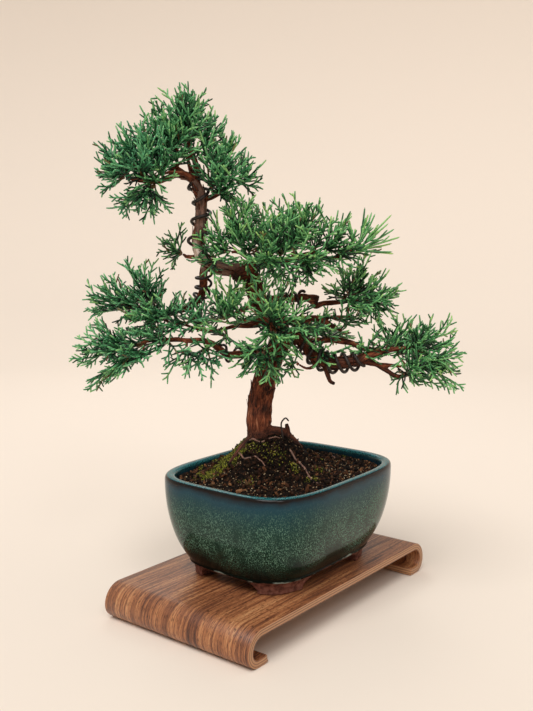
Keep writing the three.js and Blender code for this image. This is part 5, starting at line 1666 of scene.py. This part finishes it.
def grow_spray(rng, start, tip):
    """All the whips of one spray: start, direction, length, radius, bend and place along it."""
    whips = []
    tip = start + (tip - start) * 0.88  # the last whips reach on from here
    # The stem reaches out first and then turns up, so its middle point is far out but low.
    middle = start + (tip - start) * (0.6, 0.6, 0.3)

    def stem(t):
        return (1 - t) ** 2 * start + 2 * t * (1 - t) * middle + t * t * tip

    length = float(np.linalg.norm(tip - start)) * 1.04
    for i in range(4):
        a, b = stem(i / 4), stem((i + 1) / 4)
        reach = float(np.linalg.norm(b - a))
        whips.append((a, (b - a) / max(reach, 1e-6), reach * 1.06, CORD["stem"] * (1 - 0.05 * i),
                      np.zeros(3), i / 4))
    chord = unit(tip - start)
    flat_side = np.cross(chord, UP)
    if np.linalg.norm(flat_side) < 0.3:
        flat_side = np.cross(chord, np.array([0.6, 0.8, 0.0]))
    tilt = rng.normal(0, 0.5)
    flat_side = unit(flat_side)
    flat_side = unit(flat_side * math.cos(tilt) + np.cross(chord, flat_side) * math.sin(tilt))
    count = max(4, int(length / BRANCHLET_SPACING))
    for i in range(count):
        t = float(np.clip(0.1 + 0.88 * (i + rng.uniform(-0.3, 0.3)) / count, 0.05, 0.99))
        ahead = unit(stem(min(t + 0.02, 1)) - stem(max(t - 0.02, 0)))
        roll = math.radians(rng.normal(0, 24) + (180 if i % 2 else 0))
        out = flat_side * math.cos(roll) + np.cross(ahead, flat_side) * math.sin(roll)
        fullness = 0.6 + 0.5 * math.sin(math.pi * (0.1 + 0.7 * t))
        reach = min(LONGEST_BRANCHLET, 7 + length * 0.38) * fullness
        reach *= rng.uniform(0.65, 1.2) * (1.0 if t < 0.75 else 0.72)
        direction = lean_out(ahead, out, 50 - 22 * t + rng.normal(0, 6))
        branchlet = add_cord(rng, whips, stem(t), direction, reach, CORD["branchlet"], t)
        sheet = unit(np.cross(np.cross(direction, ahead), direction) + rng.normal(0, 0.25, 3))
        add_whips(rng, whips, branchlet, direction, sheet, reach, t)
    return whips


def grow_long_whips(rng, start, tip):
    """A few long bare cords that fan out past the pads, as unpinched shoots do."""
    whips = []
    for _ in range(3):
        share = rng.uniform(0, 0.35)
        foot = start + (tip - start) * share
        direction = unit(unit(tip - start) + rng.normal(0, 0.17, 3))
        length = float(np.linalg.norm(tip - start)) * rng.uniform(0.8, 1.05) * (1 - share)
        cord = add_cord(rng, whips, foot, direction, length, CORD["stem"], 0.8)
        sheet = unit(np.cross(direction, UP) + rng.normal(0, 0.5, 3))
        for s in rng.uniform(0.05, 0.6, 3):
            small = lean_out(direction, sheet * rng.choice([-1, 1]), rng.uniform(20, 32))
            add_cord(rng, whips, cord(s), small, length * rng.uniform(0.22, 0.4), CORD["whip"], 0.7)
    return whips


def whips_mesh(name, whips):
    """One mesh of many whips, each a copy of the modelled one."""
    count, corners = len(whips), len(whip_corners)
    starts, directions, lengths, radii, bends, _ = (np.array(column) for column in zip(*whips))
    helper = np.where(np.abs(directions[:, 2:3]) < 0.9, [[0.0, 0.0, 1.0]], [[1.0, 0.0, 0.0]])
    across = np.cross(directions, helper)
    across /= np.linalg.norm(across, axis=1, keepdims=True)
    over = np.cross(directions, across)
    x, y, z = whip_corners.T
    # Across, over and along form a right-handed set, so that the copy isn't turned inside out.
    points = (starts[:, None] + across[:, None] * (x[None] * radii[:, None])[..., None]
              + over[:, None] * (y[None] * radii[:, None])[..., None]
              + directions[:, None] * (z[None] * lengths[:, None])[..., None]
              + bends[:, None] * (z[None] ** 2)[..., None])
    offsets = np.arange(count) * corners
    faces = list(copied_faces(whip_quads, offsets)) + list(copied_faces(whip_tips, offsets))
    return new_mesh(name, points.reshape(-1, 3), faces)


# %% [markdown]
# ## Foliage
# Fresh growth is a clear mid green with a little blue in it, and the young shoots in the middle of
# the tree are yellow-green. Whips near a spray's foot, deep in the pad, are darker: partly because
# they are older, partly as painted shade. The cords are waxy, so they have a soft sheen. Each whip
# carries its own tone, and each point of it knows how near the tip it is.

# %% Foliage material
leaf = new_material(
    "juniper_scale_leaf", {"Roughness": 0.38, "IOR": 1.42, "Specular IOR Level": 0.5})
tone_value = add_node(leaf, "Attribute", {"attribute_name": "tone"}).outputs["Fac"]
leaf_tone = add_node(leaf, "ValToRGB", {"stops": [
    (0.0, "05120b"), (0.25, "103322"), (0.5, "388153"), (0.7, "6dbe85"), (0.86, "85cb8a"),
    (1.0, "9ad585"),
]}, {"Fac": tone_value})
brown_value = add_node(leaf, "Attribute", {"attribute_name": "brown"}).outputs["Fac"]
# The pads on the left are the coolest green. The others are tinted towards yellow.
warm_value = add_node(leaf, "Attribute", {"attribute_name": "warm"}).outputs["Fac"]
warm_tone = add_node(
    leaf, "Mix", {"data_type": "RGBA", "blend_type": "MULTIPLY", "B": (1.42, 1.1, 0.85, 1.0)},
    {"Factor": warm_value, "A": leaf_tone})
leaf_brown = add_node(
    leaf, "Mix", {"data_type": "RGBA", "B": colour("7a5030")},
    {"Factor": brown_value, "A": warm_tone})
# Scales are 1.2 mm apart along a cord: a fine mottling stands for them.
leaf_place = add_node(leaf, "TexCoord").outputs["Object"]
scales = add_node(leaf, "TexNoise", {"Scale": 850, "Detail": 2}, {"Vector": leaf_place})
scale_tone = add_node(
    leaf, "ValToRGB", {"stops": [(0.38, "a4aca6"), (0.6, "ffffff")]}, {"Fac": scales})
leaf_colour = add_node(
    leaf, "Mix", {"data_type": "RGBA", "blend_type": "MULTIPLY", "Factor": 0.7},
    {"A": leaf_brown, "B": scale_tone})
plug_in(leaf, {"Base Color": leaf_colour})

# %% [markdown]
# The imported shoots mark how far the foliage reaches. On the tree, side shoots from the same
# branches fill the pads between them. They grow in the same way, each on a twig from the nearest
# limb.

# %% Side shoots that fill the pads
SIDE_SHOOTS = {
    "crown_heart": [
        [-92, -8, 260], [-104, -30, 287], [-88, -36, 284], [-76, -30, 296], [-112, -20, 300],
        [-98, 6, 312], [-84, 14, 306]],
    "crown_top": [
        [-66, 0, 288], [-84, -22, 308], [-64, -28, 320], [-50, -20, 310], [-94, 6, 320],
        [-74, 20, 326], [-58, 14, 330]],
    "crown_shoulder": [
        [-76, -6, 266], [-92, -30, 270], [-74, -34, 276], [-60, -30, 284], [-84, 18, 290]],
    "crown_right_front": [
        [-46, -2, 246], [-42, -26, 284], [-24, -24, 280], [-10, -16, 264], [-20, -12, 234],
        [-34, 12, 292], [-50, -20, 296]],
    "crown_left_heart": [
        [-122, -9, 257], [-148, -24, 270], [-144, -32, 256], [-136, -32, 282], [-128, -36, 264],
        [-146, 8, 264], [-134, 12, 286], [-150, -8, 284]],
    "crown_arch_front": [
        [-98, -12, 250], [-106, -30, 254], [-90, -32, 246], [-114, -28, 244], [-98, -32, 264],
        [-82, -28, 256], [-88, -30, 266]],
    "crown_fan_inner": [
        [-98, -10, 248], [-112, -26, 228], [-128, -18, 226], [-94, -18, 222], [-120, 4, 232]],
    "middle_over_leader": [
        [-42, -12, 178], [-58, -26, 178], [-52, -28, 202], [-34, -32, 210], [-22, -36, 172],
        [-46, -24, 162]],
    "middle_heart_left": [
        [-10, -22, 182], [-22, -40, 207], [-2, -44, 212], [8, -40, 196], [-10, -46, 162],
        [-28, -20, 222]],
    "middle_heart_right": [
        [20, -6, 181], [10, -30, 216], [28, -28, 222], [44, -24, 214], [30, -34, 162],
        [18, -28, 152], [22, 18, 224]],
    "middle_far_right": [
        [52, -4, 185], [46, -24, 206], [62, -20, 210], [78, -16, 202], [62, -22, 166],
        [80, -10, 172], [56, 16, 214]],
    "middle_reach": [
        [76, -4, 184], [92, -14, 196], [104, -10, 186], [86, -18, 192], [96, -8, 174],
        [80, -16, 170], [108, -4, 196]],
    "middle_under": [[36, -4, 172], [22, -20, 150], [40, -20, 152], [54, -14, 156]],
    "middle_back": [[12, 30, 178], [-6, 44, 204], [18, 48, 210], [36, 40, 200], [10, 50, 172]],
    "left_thin_pad": [
        [-70, -14, 117], [-92, -30, 128], [-82, -36, 110], [-60, -32, 130], [-98, -26, 100],
        [-76, -16, 138]],
    "left_upper_heart": [
        [-100, 18, 129], [-128, 4, 150], [-116, 0, 162], [-100, 2, 146], [-140, 8, 138],
        [-132, 34, 150]],
    "left_low_heart": [
        [-86, -20, 100], [-108, -36, 110], [-96, -42, 90], [-72, -38, 84], [-118, -38, 82],
        [-128, -8, 112]],
    "left_low_outer": [
        [-108, -18, 98], [-138, -34, 104], [-148, -30, 88], [-140, -36, 74], [-128, 4, 90],
        [-150, -4, 106]],
    "left_between": [
        [-92, -6, 120], [-112, -22, 134], [-124, -24, 122], [-104, -32, 142], [-116, -28, 108],
        [-98, -34, 122], [-88, -30, 140]],
    "left_inner": [
        [-50, -18, 94], [-62, -32, 72], [-42, -34, 68], [-32, -30, 84], [-72, -30, 80],
        [-54, -30, 108]],
    "centre_left": [
        [-30, -14, 104], [-46, -32, 96], [-36, -38, 114], [-54, -26, 122], [-20, -36, 98]],
    "bright_side": [
        [-16, -16, 118], [-30, -34, 140], [-12, -38, 142], [-2, -38, 126], [-32, -38, 120]],
    "centre_heart": [
        [14, -30, 114], [-4, -46, 134], [14, -52, 142], [32, -46, 136], [42, -40, 116],
        [2, -54, 96], [24, -52, 88], [38, -44, 92]],
    "centre_low_front": [[8, -18, 94], [-8, -32, 72], [10, -38, 62], [24, -36, 70], [-16, -34, 92]],
    "centre_right": [
        [34, -12, 112], [44, -32, 128], [56, -28, 116], [48, -30, 100], [36, -30, 140]],
    "right_upper_heart": [
        [84, 28, 138], [68, 8, 150], [84, 4, 166], [100, 8, 168], [114, 8, 152], [124, 16, 140],
        [96, 0, 126]],
    "right_upper_end": [
        [104, 30, 138], [122, 20, 160], [134, 22, 136], [122, 14, 120], [130, 44, 146]],
    "right_third_heart": [[76, 14, 118], [62, -4, 130], [84, -6, 124], [94, 4, 112], [104, 8, 120]],
    "right_inner": [[66, 8, 101], [52, -6, 112], [72, -8, 112], [86, -2, 108], [90, 24, 112]],
    "under_right": [[60, -12, 88], [50, -26, 98], [64, -30, 100], [76, -26, 92], [58, -28, 80]],
    "under_far_right": [
        [102, -12, 86], [92, -24, 98], [104, -30, 104], [116, -24, 98], [110, -28, 84]],
    "end_inner": [[120, -12, 90], [112, -26, 104], [128, -28, 108], [136, -26, 96], [118, -28, 88]],
    "right_end_front": [
        [144, -22, 92], [158, -38, 106], [176, -34, 100], [190, -30, 84], [168, -40, 74],
        [148, -38, 68]],
    "right_end_heart": [
        [132, -18, 88], [146, -34, 96], [150, -4, 106], [162, -10, 88], [136, -36, 78],
        [164, 10, 104]],
    "right_end_back": [
        [128, 14, 92], [150, 26, 108], [160, 16, 92], [136, 30, 100], [126, 34, 108]],
}
SIDE_SHOOTS = {"side_" + name: sprays for name, sprays in SIDE_SHOOTS.items()}
shoot_bases.update(grow_twigs("brown_side_twigs", SIDE_SHOOTS, 1.5, 1.1, 0))

# %% Grow the foliage
BRIGHT = {"bright_shoots": 0.12, "side_bright_side": 0.08, "centre_top": 0.02, "middle_top": 0.05}
OPEN = {"right_whips"}  # long bare cords
BROWN_SHARE = 0.018  # of the whips are dead and brown
# A whip's tone at the spray's foot, how far it varies, and what it gains along spray and whip.
FOOT_TONE, TONE_SPREAD, SPRAY_GAIN, WHIP_GAIN = 0.14, 0.29, 0.5, 0.2
SHORTER = {
    "crown_left_tip": 0.8, "side_crown_left_heart": 0.78, "crown_right_tip": 0.88, "peak": 0.92,
    "peak_left": 0.86, "crown_left_top": 0.9, "left_low_tip": 0.88, "end_tip": 0.9}
WARM = {
    "crown_left": 0.0, "crown_heart": 0.1, "left": 0.3, "peak": 0.5, "crown": 0.5}  # others 0.95
total = 0
for number, (name, sprays) in enumerate({**SHOOTS, **SIDE_SHOOTS}.items()):
    rng = np.random.default_rng(100 + number)
    base = shoot_bases[name]
    tips = [base + (tree_point(*spray) - base) * SHORTER.get(name, 1) for spray in sprays[1:]]
    whips = []
    for tip in tips:
        whips += (grow_long_whips if name in OPEN else grow_spray)(rng, base, tip)
    # Shorter sprays between neighbouring tips fill the pad, as side shoots do.
    if name in SHOOTS and name not in OPEN:
        for tip, other in zip(tips, tips[1:] + tips[:1]):
            whips += grow_spray(
                rng, base, base + ((tip + other) / 2 - base) * rng.uniform(0.72, 0.9))
    foliage = whips_mesh("leafy_" + name, whips)
    corners = len(whip_corners)
    own_tone = rng.uniform(-TONE_SPREAD, TONE_SPREAD, len(whips))
    along_spray = np.array([whip[5] for whip in whips])
    radii = np.array([whip[3] for whip in whips])
    # The gain along the spray darkens whips deep in the pad: partly older growth, partly painted
    # shade.
    tone = FOOT_TONE + BRIGHT.get(name, 0) + own_tone + SPRAY_GAIN * along_spray
    tone = np.repeat(tone, corners) + np.tile(whip_corners[:, 2], len(whips)) * WHIP_GAIN
    write_values(foliage, "tone", np.clip(tone, 0, 1))
    brown = np.where(rng.uniform(0, 1, len(whips)) < BROWN_SHARE, 0.8, 0.0)
    brown = np.maximum(brown, np.where((along_spray < 0.25) & (radii > 1.0), 0.75, 0))
    write_values(foliage, "brown", np.repeat(brown, corners))
    part_of_tree = name.removeprefix("side_")
    warm = next((value for start, value in WARM.items() if part_of_tree.startswith(start)), 0.95)
    write_values(foliage, "warm", np.full(len(whips) * corners, warm))
    dress(foliage, leaf, "leaf", *(["foliage_" + name] if name in SHOOTS else []))
    total += len(whips)
print("whips:", total)
